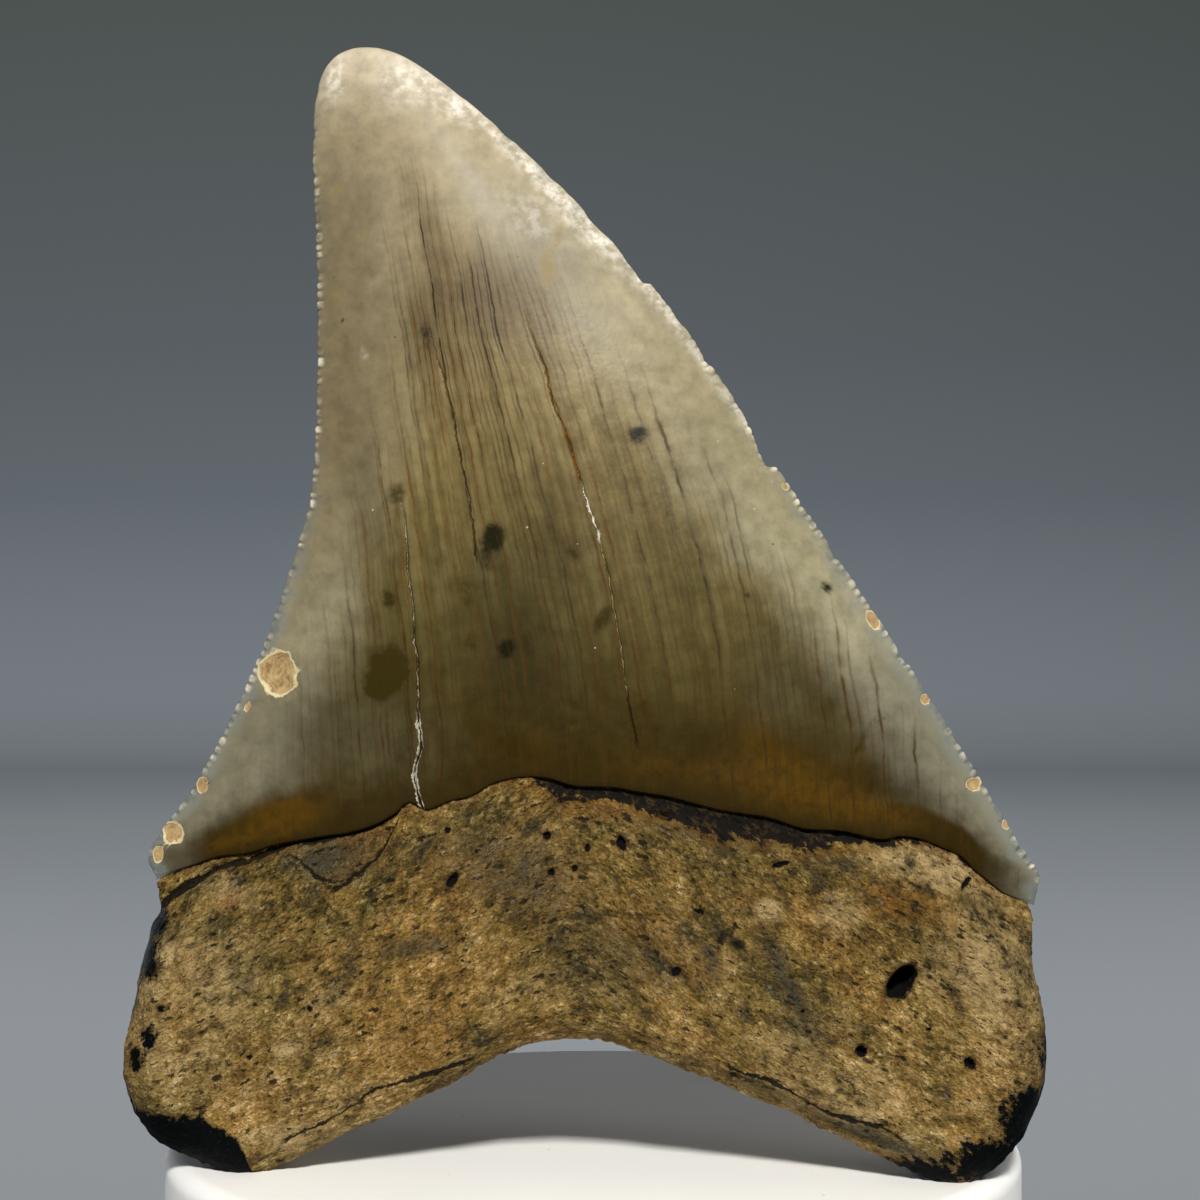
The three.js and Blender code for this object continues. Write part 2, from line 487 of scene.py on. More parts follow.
    def line_of(self, face: Face) -> SmoothCurve:
        """The line where the enamel ends on a face."""
        return self.front_line if face is Face.LABIAL else self.back_line

    def bend(self, z: Array) -> Array:
        """How far the middle plane bends back at a height, at the tip and at the lobes.

        Args:
            z: The heights.

        Returns:
            The depth of the middle plane.
        """
        tip = np.clip((z - self.tip_bend_from) / (self.apex[1] - self.tip_bend_from), 0.0, 1.0)
        lobe = smooth(self.lobe_bend_from - z, 0.0, self.lobe_bend_from)
        return self.tip_bend * tip**2 + self.lobe_bend * lobe

    def crown_depth(self, face: Face, across: Array, down: Array) -> Array:
        """The crown's depth on a face: a lens across, blunt at the tip.

        Args:
            face: The face.
            across: Shares from the left side to the right one.
            down: Shares from top to bottom.

        Returns:
            The depths off the middle.
        """
        lens = np.maximum(4.0 * across * (1.0 - across), 0.0)
        near_tip = np.exp(-down / self.tip_reach)
        growth = down ** (self.tip_bluntness + 0.25 * near_tip)
        if face is Face.LABIAL:
            return self.crown_front * growth * lens ** (self.front_lens - 0.45 * near_tip)
        return self.crown_back * growth * lens ** (self.back_lens - 0.3 * near_tip)

    def root_depth(self, face: Face, x: Array, z: Array) -> Array:
        """The root's depth on a face: flat in front, with a boss behind, and rounded edges.

        Args:
            face: The face.
            x: The points' places across.
            z: Their heights.

        Returns:
            The depths off the middle.
        """
        places = np.stack([x.ravel(), z.ravel()], axis=1)
        gaps = places[:, None, :] - self.root_outline[None, ::3, :]
        distance = np.sqrt((gaps**2).sum(axis=2)).min(axis=1).reshape(x.shape)
        middle = bell(x, self.boss_half_width)
        if face is Face.LABIAL:
            flat = self.root_front_end + (self.root_front_middle - self.root_front_end) * middle
            return flat * quarter_round(distance, self.front_edge_radius)
        boss = self.boss_depth * middle * bell(z - self.boss_z, self.boss_half_height)
        return (self.root_back + boss) * quarter_round(distance, self.back_edge_radius)

    def crown_place(self, face: Face, across: Array, down: Array) -> Array:
        """Points of the crown's patch: straight rows near the tip, and bent ones near the root.

        Args:
            face: The face whose enamel line ends the patch.
            across: Shares from the left cutting edge to the right one.
            down: Shares from the tip to the enamel line.

        Returns:
            The points, with x and z as the last axis.
        """
        share = across[..., None]
        left = self.left_edge.at(down)
        right = self.right_edge.at(down)
        chord = (1 - share) * np.array(self.left_corner) + share * np.array(self.right_corner)
        lift = self.line_of(face).at(across) - chord
        return (1 - share) * left + share * right + lift * (down**2)[..., None]

    def root_place(self, across: Array, down: Array) -> Array:
        """Points of the root's patch, between the enamel line, the sides and the underside.

        Args:
            across: Shares from the left side to the right one.
            down: Shares from top to bottom.

        Returns:
            The points, with x and z as the last axis.
        """
        share = across[..., None]
        drop = down[..., None]
        ruled = (1 - drop) * self.front_line.at(across) + drop * self.underside.at(across)
        sides = (1 - share) * self.left_side.at(down) + share * self.right_side.at(down)
        top = (1 - share) * np.array(self.left_corner) + share * np.array(self.right_corner)
        low = (1 - share) * np.array(self.left_heel) + share * np.array(self.right_heel)
        return ruled + sides - ((1 - drop) * top + drop * low)

    def to_frame(self, places: Array) -> Array:
        """Turn x, depth and z in millimetres of the tooth's plane into metres of the frame.

        Args:
            places: Rows of x, depth and z.

        Returns:
            The rows in the frame.
        """
        angle = math.radians(self.turn_deg)
        x, y, z = places[:, 0], places[:, 1], places[:, 2]
        turned = np.stack([
            x * math.cos(angle) - y * math.sin(angle) + self.place_x,
            x * math.sin(angle) + y * math.cos(angle) + self.place_y,
            z + self.block_top,
        ], axis=1)
        return turned * MM

    def plane_coordinates(self, tree: Tree) -> Socket:
        """Add the nodes that turn a piece's own place into millimetres of the tooth's plane.

        Args:
            tree: The material's tree.

        Returns:
            The place in the tooth's plane.
        """
        angle = math.radians(-self.turn_deg)
        back_x = self.place_x * math.cos(angle) - self.place_y * math.sin(angle)
        back_y = self.place_x * math.sin(angle) + self.place_y * math.cos(angle)
        spot = add(tree, "ShaderNodeTexCoord", out="Object")
        return add(tree, "ShaderNodeMapping", spot, (-back_x, -back_y, -self.block_top),
                   (0.0, 0.0, angle), (1 / MM, 1 / MM, 1 / MM))


@dataclass(frozen=True)
class Mark:
    """An oval mark, chip or hollow on a face, in millimetres of the tooth's plane."""

    x: float
    z: float
    half_x: float
    half_z: float
    strength: float = 1.0
    lean_deg: float = 0.0

    def reach(self, x: Array, z: Array) -> Array:
        """The distance from the mark's centre, where 1 is its rim.

        Args:
            x: The points' places across.
            z: Their heights.

        Returns:
            The distances.
        """
        angle = math.radians(self.lean_deg)
        right = (x - self.x) * math.cos(angle) - (z - self.z) * math.sin(angle)
        up = (x - self.x) * math.sin(angle) + (z - self.z) * math.cos(angle)
        return np.hypot(right / self.half_x, up / self.half_z)


def marks(*rows: tuple[float, ...]) -> tuple[Mark, ...]:
    """The marks with these rows of x, z, half x, half z, strength and lean."""
    return tuple(Mark(*row) for row in rows)


def nearest_mark(group: tuple[Mark, ...], x: Array, z: Array) -> Array:
    """Find how far off the nearest of several marks is.

    Args:
        group: The marks.
        x: The points' places across.
        z: Their heights.

    Returns:
        The smallest reach, no more than FAR_REACH.
    """
    nearest = np.full(x.shape, FAR_REACH)
    for mark in group:
        nearest = np.minimum(nearest, mark.reach(x, z))
    return nearest


def soft_marks(group: tuple[Mark, ...], x: Array, z: Array) -> Array:
    """Add up the strengths of several soft-edged marks.

    Args:
        group: The marks.
        x: The points' places across.
        z: Their heights.

    Returns:
        The sum at each point.
    """
    total = np.zeros(x.shape)
    for mark in group:
        total += mark.strength * np.exp(-(mark.reach(x, z) ** 2))
    return total


def mesh_object(
    name: str,
    places: Array,
    faces: Array,
    values: dict[str, Array] | None = None,
) -> Object:
    """Make a smooth mesh object at the origin, with its per-vertex attributes.

    Args:
        name: The piece's name.
        places: The vertices, in rows of three.
        faces: The triangles, in rows of three vertex numbers.
        values: Each attribute's name, with one number or three for every vertex.

    Returns:
        The linked object.
    """
    mesh = bpy.data.meshes.new(name)
    mesh.vertices.add(len(places))
    mesh.vertices.foreach_set("co", places.astype(np.float32).ravel())
    mesh.loops.add(faces.size)
    mesh.loops.foreach_set("vertex_index", faces.astype(np.int32).ravel())
    mesh.polygons.add(len(faces))
    mesh.polygons.foreach_set("loop_start", np.arange(0, faces.size, 3, dtype=np.int32))
    mesh.update(calc_edges=True)
    mesh.validate()
    mesh.shade_smooth()
    for key, numbers in (values or {}).items():
        store_values(mesh, key, numbers)
    made = bpy.data.objects.new(name, mesh)
    bpy.context.scene.collection.objects.link(made)
    return made


def quad_faces(a: Array, b: Array, c: Array, d: Array) -> Array:
    """Two triangles for each quad, with corners a and b above corners c and d."""
    return np.concatenate([np.stack([a, c, b], axis=1), np.stack([b, c, d], axis=1)])


def move_vertices(mesh: bpy.types.Mesh, places: Array) -> None:
    """Put a mesh's vertices at new places, in rows of three."""
    mesh.vertices.foreach_set("co", places.astype(np.float32).ravel())
    mesh.update()


def store_values(mesh: bpy.types.Mesh, name: str, numbers: Array) -> None:
    """Store one number or three for every vertex of a mesh as a named attribute.

    Args:
        mesh: The mesh.
        name: The attribute's name.
        numbers: One number or three for every vertex.
    """
    single = numbers.ndim == 1
    kind = "FLOAT" if single else "FLOAT_VECTOR"
    attribute = mesh.attributes.get(name) or mesh.attributes.new(name, kind, "POINT")
    attribute.data.foreach_set("value" if single else "vector", numbers.astype(np.float32).ravel())


def vertex_places(mesh: bpy.types.Mesh) -> Array:
    """A mesh's vertices in rows of three.

    Args:
        mesh: The mesh.

    Returns:
        The places, as ordinary floats.
    """
    places = np.empty(len(mesh.vertices) * 3, dtype=np.float32)
    mesh.vertices.foreach_get("co", places)
    return places.reshape(-1, 3).astype(float)


def plain_mesh(made: Object) -> Object:
    """Turn an object's modifiers into its plain mesh, and remove them.

    Args:
        made: The object with its modifiers.

    Returns:
        The same object.
    """
    scene_graph = bpy.context.evaluated_depsgraph_get()
    finished = bpy.data.meshes.new_from_object(
        made.evaluated_get(scene_graph), preserve_all_data_layers=True, depsgraph=scene_graph
    )
    made.modifiers.clear()
    old = made.data
    made.data = finished
    finished.name = made.name
    bpy.data.meshes.remove(old)
    return made


@dataclass(frozen=True)
class Crack:
    """A crack down the crown's labial face, along the growth of the enamel."""

    points: tuple[tuple[float, float], ...]
    growth: float
    groove: float

    def x_at(self, z: Array) -> Array:
        """The crack's x at given heights, held at its ends."""
        places = np.array(self.points)[::-1]
        return np.interp(z, places[:, 1], places[:, 0])

    def presence(self, z: Array) -> Array:
        """1 along the crack, and 0 above and below it.

        Args:
            z: The heights.

        Returns:
            Shares from 0 to 1.
        """
        top = self.points[0][1]
        low = self.points[-1][1]
        return smooth(z, low - 1.0, low + 0.5) * (1.0 - smooth(z, top - 4.0, top))

    def shares(self, form: ToothForm, down: Array) -> Array:
        """The crack's share across each row of the crown, held above and below its ends.

        Args:
            form: The tooth's form.
            down: The rows' shares from the tip to the enamel line.

        Returns:
            One share across for every row.
        """
        width = np.maximum(form.right_edge.at(down)[:, 0] - form.left_edge.at(down)[:, 0], 1e-6)
        share = np.full(down.shape, self.growth)
        for _ in range(12):
            place = form.crown_place(Face.LABIAL, share, down)
            missed = self.x_at(place[:, 1]) - place[:, 0]
            share = np.clip(share + 0.8 * missed / width, 0.05, 0.95)
        height = form.crown_place(Face.LABIAL, share, down)[:, 1]
        along = (height <= self.points[0][1]) & (height >= self.points[-1][1])
        return np.interp(down, down[along], share[along])


@dataclass(frozen=True)
class EdgeBreak:
    """An old break of the right cutting edge: worn back above a height, and whole below it."""

    z: float
    depth: float
    rise: float
    drop: float

    def inset(self, z: Array) -> Array:
        """How far the edge is worn back at heights along it."""
        above = 1.0 - smooth(z, self.z, self.z + self.rise)
        return self.depth * above * smooth(z, self.z - self.drop, self.z)


@dataclass
class EnamelCrown:
    """The glossy crown, with its serrated cutting edges, cracks and chipped rim."""

    form: ToothForm
    rows: int = 150
    fine_rows: int = 4
    columns: int = 186
    base_width: float = 62.0
    edge_steps: tuple[float, ...] = (0.0, 0.06, 0.14, 0.25, 0.40, 0.60, 0.85, 1.2)
    groove_steps: tuple[float, ...] = (-0.24, -0.15, -0.08, -0.04, 0.0, 0.04, 0.08, 0.15, 0.24)
    lip_drops: tuple[float, ...] = (0.07, 0.16, 0.20)
    lip_insets: tuple[float, ...] = (0.05, 0.25, 0.75)
    bourlette_step: float = 0.16
    breaks: tuple[EdgeBreak, ...] = (
        EdgeBreak(62.9, 0.30, 4.0, 0.40), EdgeBreak(50.1, 0.55, 3.4, 0.45),
        EdgeBreak(66.6, 0.16, 2.0, 0.8), EdgeBreak(57.2, 0.14, 1.6, 0.5),
        EdgeBreak(43.4, 0.16, 1.0, 0.4), EdgeBreak(36.2, 0.14, 1.2, 0.4),
    )
    wear_reach: float = 2.4
    serration_pitch: float = 0.68
    serration_depth: float = 0.12
    serration_reach: float = 0.8
    serration_swell: float = 0.03
    lean: float = 0.38
    lean_from: float = 25.0
    lean_ease: float = 18.0
    tip_closeness: float = 1.12
    narrow_row: float = 8.0
    crack_half_width: float = 0.09
    crack_clearance: float = 0.0058
    chip_depth: float = 0.26
    swell_depth: float = 0.05

    @cached_property
    def cracks(self) -> tuple[Crack, ...]:
        """The three long cracks, from the left one to the middle one."""
        return (
            Crack((
                (-13.9, 48.1), (-13.5, 46.4), (-13.3, 44.4), (-13.2, 42.4), (-12.8, 39.9),
                (-12.7, 37.4), (-12.5, 36.8), (-12.4, 33.8), (-12.4, 31.8), (-12.1, 30.3),
                (-12.6, 28.9), (-12.5, 27.5), (-12.1, 26.2),
            ), 0.25, 0.12),
            Crack((
                (-12.0, 60.0), (-11.4, 57.8), (-10.7, 55.6), (-10.1, 53.5), (-9.7, 51.0),
                (-9.2, 48.8), (-8.9, 47.4), (-8.7, 46.0), (-8.4, 43.2),
            ), 0.36, 0.03),
            Crack((
                (-5.3, 60.8), (-4.6, 58.7), (-3.5, 56.0), (-3.2, 54.2), (-2.2, 52.0),
                (-1.3, 49.0), (-0.7, 47.1), (0.1, 44.9), (0.8, 42.0), (1.3, 39.0),
                (1.6, 37.3), (1.9, 35.1), (2.3, 32.4), (2.8, 30.6),
            ), 0.58, 0.06),
        )

    @cached_property
    def chips(self) -> tuple[Mark, ...]:
        """The flakes that are broken out of the enamel, most of them at the cutting edges."""
        return marks(
            (-22.6, 35.2, 1.5, 1.75, 1.0, 12), (-28.1, 27.3, 0.42, 0.6),
            (-30.2, 23.9, 0.9, 0.8, 1.0, 40), (-31.3, 22.4, 0.4, 0.7),
            (19.0, 39.0, 0.42, 0.8, 1.0, -30), (22.6, 33.5, 0.32, 0.38), (25.9, 27.6, 0.55, 0.5),
            (28.2, 24.9, 0.28, 0.4), (12.9, 48.3, 0.2, 0.35, 1.0, -35),
            (-24.9, 32.9, 0.22, 0.4, 1.0, 20), (-20.2, 60.8, 0.2, 0.35), (-20.9, 46.6, 0.25, 0.4),
        )

    @cached_property
    def stains(self) -> dict[str, tuple[Mark, ...]]:
        """The coloured marks of the labial face, by what they are."""
        return {
            "olive": marks(
                (-14.5, 35.6, 1.35, 1.5, 1.7), (-15.3, 34.3, 0.9, 0.8, 1.2, 10),
                (-14.1, 47.8, 0.8, 0.9, 0.8), (-14.6, 40.5, 0.8, 0.8, 0.8),
                (-3.5, 63.3, 0.7, 2.1, 0.75, -8), (-2.8, 66.0, 0.5, 1.3, 0.6, 10),
                (-18.5, 69.3, 0.35, 1.0, 0.7, 45), (-16.6, 66.0, 0.5, 1.2, 0.45),
                (-18.4, 58.4, 0.8, 1.4, 0.4), (-12.5, 74.5, 1.2, 0.8, 0.35),
                (-10.0, 71.0, 0.9, 0.5, 0.3, -20), (-18.8, 61.8, 0.9, 0.9, 0.5),
                (0.4, 39.1, 0.6, 1.3, 0.9, 25), (-1.7, 43.5, 0.5, 1.0, 0.8, -20),
                (17.8, 30.2, 0.4, 1.6, 0.7, 30), (19.4, 32.3, 0.9, 0.4, 0.6, -30),
                (16.0, 33.6, 0.5, 1.1, 0.45, -30), (-9.0, 41.0, 0.9, 2.0, 0.5),
                (-1.6, 33.2, 0.35, 0.35), (-1.6, 32.1, 0.35, 0.35), (3.2, 33.3, 0.4, 0.35, 0.9),
                (-8.6, 37.4, 0.8, 1.0, 0.6, 30), (8.0, 33.0, 0.5, 0.5, 0.6),
            ),
            "dark": marks(
                (-12.0, 58.9, 0.6, 1.2, 0.6, -15), (-7.2, 44.8, 0.8, 0.9, 1.1),
                (-7.6, 43.2, 0.8, 1.2, 0.45), (2.7, 51.8, 0.8, 0.75, 0.85),
                (-6.3, 37.0, 0.7, 0.7, 0.95), (15.8, 41.3, 0.5, 0.46, 0.75),
                (10.3, 40.6, 0.25, 0.22, 0.8), (-18.1, 60.0, 0.2, 0.2, 0.8),
                (-15.1, 47.0, 0.3, 0.8, 0.3), (-3.0, 59.3, 0.3, 1.7, 0.35, -18),
            ),
            "warm": marks(
                (-21.8, 25.3, 3.4, 1.7, 1.0, -14), (-26.4, 23.4, 2.4, 0.9, 0.6, -20),
                (-15.6, 27.2, 3.0, 1.2, 0.2, -8), (-14.7, 35.9, 0.28, 0.6, 3.0, 10),
                (-4.2, 31.0, 1.2, 1.9, 0.4), (4.0, 29.0, 6.0, 1.5, 0.5, 4),
                (13.0, 28.0, 4.6, 2.4, 0.75, 8), (19.5, 25.8, 4.6, 1.3, 0.7, 10),
                (11.0, 31.5, 2.4, 2.2, 0.35), (-19.2, 53.0, 0.8, 4.5, 0.35),
                (-18.9, 61.0, 0.8, 3.5, 0.25), (-1.5, 33.2, 0.25, 0.2, 0.8),
            ),
            "shade": marks(
                (-6.0, 39.0, 3.6, 8.0, 0.7, -12), (-12.0, 59.5, 2.6, 4.2, 0.3, -12),
                (5.5, 29.5, 9.0, 4.0, 0.5, 3), (-5.0, 34.5, 4.0, 4.5, 0.5, -5),
                # The second mark below, at x -7.4 and z 68.7, is painted shade over the band by the tip
                # that faces up into the key light.
                (-2.5, 45.0, 2.6, 5.0, 0.55, -14), (-7.4, 68.7, 2.0, 7.5, 0.3, -47),
                (20.6, 26.4, 3.2, 1.8, 0.75, 25), (-16.0, 45.5, 1.7, 6.0, 0.4, -8),
                (12.0, 28.5, 7.0, 2.0, 0.3, 8), (-4.2, 63.0, 3.2, 3.6, 0.25, -35),
                (6.8, 49.5, 3.0, 4.0, 0.2, -25), (21.0, 29.8, 1.4, 2.4, 0.5, -35),
                (-16.8, 30.9, 4.8, 3.6, -1.2, 14), (-9.5, 30.4, 3.6, 3.0, -0.35),
                (12.6, 33.8, 3.0, 3.6, -0.85, -20), (17.2, 30.2, 2.4, 2.4, -0.5, -30),
                (-4.6, 30.0, 2.6, 2.4, -0.4),
            ),
            "hatch": marks(
                (-11.8, 66.3, 1.1, 4.2, 0.9, -20), (-8.6, 61.8, 3.4, 3.0, 0.9, -25),
                (-5.0, 60.2, 3.0, 3.6, 0.85, -25), (-12.2, 59.2, 1.6, 2.8, 0.8, -10),
                (-9.8, 55.5, 2.6, 3.2, 0.5, -15),
            ),
            # Frost along the upper right edge and at the tip; along that edge it is partly a painted
            # sheen where the face catches the light.
            "frost_and_sheen": marks(
                (-0.9, 66.6, 0.8, 3.8, 0.9, -41), (-9.4, 75.0, 0.8, 4.0, 0.7, -52),
                (-5.0, 70.8, 0.6, 3.4, 0.7, -45), (3.2, 62.6, 0.5, 3.2, 0.7, -38),
                (10.0, 53.0, 0.4, 3.6, 0.5, -36), (-14.5, 77.8, 1.4, 1.0, 0.4, -30),
                (-16.5, 57.7, 0.22, 0.3), (-18.9, 77.4, 0.8, 1.6, 0.7, 10),
                (6.2, 58.4, 0.4, 3.0, 0.5, -36), (-13.4, 76.6, 1.6, 1.3, 0.5, -40),
                (-11.2, 75.4, 1.0, 2.2, 0.4, -50), (-4.6, 67.2, 1.5, 2.4, 0.35, -42),
            ),
        }

    def across_knots(self, down: Array) -> tuple[Array, Array]:
        """How the growth of the enamel runs across each row.

        Args:
            down: The rows' shares from the tip to the enamel line.

        Returns:
            The growth values of the knots, and each row's shares across for them.
        """
        width = self.row_width(down)
        rim = self.edge_steps[-1] * self.edge_shrink(down) / width
        lines = [rim, *[crack.shares(self.form, down) for crack in self.cracks], 1.0 - rim]
        return np.array([0.0, *[crack.growth for crack in self.cracks], 1.0]), np.stack(lines)

    def row_width(self, down: Array) -> Array:
        """The width of each row, from one cutting edge to the other."""
        gap = self.form.right_edge.at(down) - self.form.left_edge.at(down)
        return np.maximum(np.linalg.norm(gap, axis=-1), 1e-3)

    def edge_shrink(self, down: Array) -> Array:
        """How much the columns beside the cutting edges close up in the narrow rows by the tip."""
        return np.minimum(1.0, self.row_width(down) / self.narrow_row)

    def growth_columns(self) -> Array:
        """The growth values of the inner columns, closer together at the cracks.

        Returns:
            The values in rising order.
        """
        even = np.linspace(0.0, 1.0, self.columns)[1:-1]
        clear = np.ones(even.shape, dtype=bool)
        close = []
        for crack in self.cracks:
            clear &= np.abs(even - crack.growth) > self.crack_clearance
            close.extend(crack.growth + step / self.base_width for step in self.groove_steps)
        return np.sort(np.concatenate([even[clear], close]))

    def grid(self, face: Face) -> dict[str, Array]:
        """Lay out one face: columns that run from the tip to the root, and rows across.

        Args:
            face: The face to lay out.

        Returns:
            Arrays with one row for every column of the mesh: the places and their values.
        """
        steps = self.rows * self.fine_rows
        down = np.linspace(0.0, 1.0, steps + 1) ** self.tip_closeness
        width = self.row_width(down)
        shrink = self.edge_shrink(down)
        knots, lines = self.across_knots(down)
        inner = self.growth_columns()
        below_tip = smooth(down, 0.04, 0.22)
        across = []
        for step in self.edge_steps:
            across.append(step * shrink / width)
        for number, value in enumerate(inner):
            place = np.searchsorted(knots, value) - 1
            share = (value - knots[place]) / (knots[place + 1] - knots[place])
            even = lines[0] + (lines[-1] - lines[0]) * (number + 1) / (len(inner) + 1)
            drawn = (1 - share) * lines[place] + share * lines[place + 1]
            across.append((1 - below_tip) * even + below_tip * drawn)
        for step in self.edge_steps[::-1]:
            across.append(1.0 - step * shrink / width)
        across = np.stack(across)
        down = np.broadcast_to(down, across.shape)
        place = self.form.crown_place(face, across, down)
        depth = self.form.crown_depth(face, across, down)
        values = self.edge_values(place, across, down)
        place = self.wear_edge(place, across, values)
        values["growth"] = self.growth_line(place[..., 0], place[..., 1])
        values["rise"] = place[..., 1] - self.form.line_of(face).height_at(place[..., 0])
        depth = self.carve(face, place, depth, values)
        y = self.form.bend(place[..., 1]) + face.value * depth
        values["place"] = np.stack([place[..., 0], y, place[..., 1]], axis=-1)
        values["depth"] = depth
        return values

    def growth_line(self, x: Array, z: Array) -> Array:
        """Which growth line each point is on, by the x where the line meets the root.

        Args:
            x: The points' places across.
            z: Their heights.

        Returns:
            The lines' x at the root. They lean towards the left edge up the crown.
        """
        rise = np.maximum(z - self.lean_from, 0.0)
        drift = self.lean * (rise - self.lean_ease * (1.0 - np.exp(-rise / self.lean_ease)))
        return x + drift * (0.62 + 0.38 * smooth(x, -15.0, -5.0) - 0.2 * smooth(x, 3.0, 12.0))

    def wear_edge(self, place: Array, across: Array, values: dict[str, Array]) -> Array:
        """Wear the cutting edges back unevenly, most of all at the old breaks.

        Args:
            place: The points' x and z.
            across: Their shares from the left edge to the right one.
            values: Their edge values.

        Returns:
            The worn points' x and z.
        """
        out = values["edge_out"][..., ::2]
        rim = place[..., 1] + values["edge_in"] * out[..., 1]
        nicks = 0.045 * np.sin(1.9 * rim + 0.4) + 0.035 * np.sin(4.3 * rim + across)
        inset = np.maximum(nicks, -0.02) * smooth(rim, 79.0, 74.0)
        for edge_break in self.breaks:
            inset = inset + edge_break.inset(rim) * (across > 0.5)
        left = np.clip(1.0 - values["edge_in"] / self.wear_reach, 0.0, 1.0)
        return place - out * (inset * left**2)[..., None]

    def edge_values(self, place: Array, across: Array, down: Array) -> dict[str, Array]:
        """Measure each point from the nearer cutting edge.

        Args:
            place: The points' x and z.
            across: Their shares from the left edge to the right one.
            down: Their shares from the tip to the enamel line.

        Returns:
            The distance in from the edge, the length along it and the way out of it.
        """
        small = 1e-4
        values = {}
        for name, edge, side in (
            ("left", self.form.left_edge, 1.0),
            ("right", self.form.right_edge, -1.0),
        ):
            start = edge.at(down)
            ahead = edge.at(np.minimum(down + small, 1.0)) - edge.at(np.maximum(down - small, 0.0))
            along = ahead / np.maximum(np.linalg.norm(ahead, axis=-1, keepdims=True), 1e-9)
            out = np.stack([side * along[..., 1], -side * along[..., 0]], axis=-1)
            gap = place - start
            values[name] = (
                -(gap * out).sum(axis=-1),
                down * edge.lengths[-1] + (gap * along).sum(axis=-1),
                out,
            )
        left, right = values["left"], values["right"]
        nearer = left[0] < right[0]
        out = np.where(nearer[..., None], left[2], right[2])
        return {
            "edge_in": np.maximum(np.where(nearer, left[0], right[0]), 0.0),
            "edge_arc": np.where(nearer, left[1], right[1]),
            "edge_out": np.stack([out[..., 0], np.zeros(across.shape), out[..., 1]], axis=-1),
            "edge_sharp": np.where(nearer, self.left_sharpness(left[1]),
                                   self.right_sharpness(right[1])),
        }

    def left_sharpness(self, arc: Array) -> Array:
        """How sharp the serrations of the left edge still are, by the length from the tip."""
        return smooth(arc, 4.0, 12.0) * (1.0 - 0.25 * smooth(arc, 50.0, 62.0))

    def right_sharpness(self, arc: Array) -> Array:
        """How sharp the serrations of the right edge still are, by the length from the tip."""
        return 0.75 * smooth(arc, 22.0, 34.0) + 0.25 * smooth(arc, 60.0, 70.0)

    def carve(self, face: Face, place: Array, depth: Array, values: dict[str, Array]) -> Array:
        """Cut the cracks, the chips and the dull band into a face, and store where they are.

        Args:
            face: The face to cut.
            place: The points' x and z.
            depth: Their smooth depths.
            values: The points' other values, to which the cracks and chips are added.

        Returns:
            The cut depths.
        """
        x, z = place[..., 0], place[..., 1]
        gaps = np.stack([x - crack.x_at(z) for crack in self.cracks], axis=-1)
        gaps = np.clip(gaps, -FAR_REACH, FAR_REACH)
        labial = face is Face.LABIAL
        values["crack"] = gaps if labial else np.full(gaps.shape, FAR_REACH)
        chip = nearest_mark(self.chips, x, z)
        values["chip"] = chip if labial else np.full(x.shape, FAR_REACH)
        for name, group in self.stains.items():
            values[name] = soft_marks(group, x, z) if labial else np.zeros(x.shape)
        band = self.band_height(x)
        dull = 1.0 - smooth(values["rise"], band - 0.25, band + 0.25)
        values["dull"] = np.zeros(x.shape) if labial else dull
        wave = self.swell_depth * np.sin(x * 0.55 + 0.6) * np.sin(z * 0.21 + 1.0)
        depth = depth + wave * smooth(values["edge_in"], 1.0, 6.0)
        if labial:
            for number, crack in enumerate(self.cracks):
                across = bell(gaps[..., number], self.crack_half_width)
                depth = depth - crack.groove * across * crack.presence(z)
            scoop = self.chip_depth * np.sqrt(np.clip(1.0 - chip**2, 0.0, 1.0))
            return np.maximum(depth - scoop * smooth(values["edge_in"], -0.3, 0.7), 0.0)
        step = self.bourlette_step * dull * smooth(values["edge_in"], 0.3, 3.0)
        return np.maximum(depth - step, 0.0)

    def band_height(self, x: Array) -> Array:
        """How far the dull band on the lingual face rises above the end of the crown."""
        return 1.2 + 3.6 * bell(x + 1.0, 15.0)

    def build(self, enamel: Material) -> Object:
        """Make the crown as one closed mesh in the frame's place.

        Args:
            enamel: The material of the whole crown.

        Returns:
            The finished crown.
        """
        grids = {face: self.grid(face) for face in Face}
        columns, samples = grids[Face.LABIAL]["edge_in"].shape
        edges = len(self.edge_steps)
        chosen = []
        numbers = {face: [] for face in Face}
        next_number = 1
        coarse = np.arange(self.fine_rows, samples, self.fine_rows)
        fine = np.arange(1, samples)
        for face in Face:
            for column in range(columns):
                if face is Face.LINGUAL and column in (0, columns - 1):
                    numbers[face].append(numbers[Face.LABIAL][column])
                    continue
                rows = fine if column < edges or column >= columns - edges else coarse
                lip = range(samples, samples + len(self.lip_drops))
                picked = [*rows, *lip]
                chosen.append((face, column, rows))
                last = next_number + len(picked)
                numbers[face].append(([0, *range(next_number, last)], [0, *picked]))
                next_number = last
        faces = []
        for face in Face:
            for left, right in zip(numbers[face], numbers[face][1:]):
                strip = join_columns(left, right)
                faces.extend(strip if face is Face.LABIAL else [turned[::-1] for turned in strip])
        front_rim = [numbers[Face.LABIAL][column][0][-1] for column in range(columns)]
        back_rim = [numbers[Face.LINGUAL][column][0][-1] for column in range(columns)]
        faces.extend(cap_faces(front_rim, back_rim))
        places, values = self.gather(grids, chosen)
        crown = mesh_object("tooth_crown", places, np.array(faces), values)
        self.serrate(crown, enamel)
        finished = plain_mesh(crown)
        move_vertices(finished.data, self.form.to_frame(vertex_places(finished.data)))
        return finished

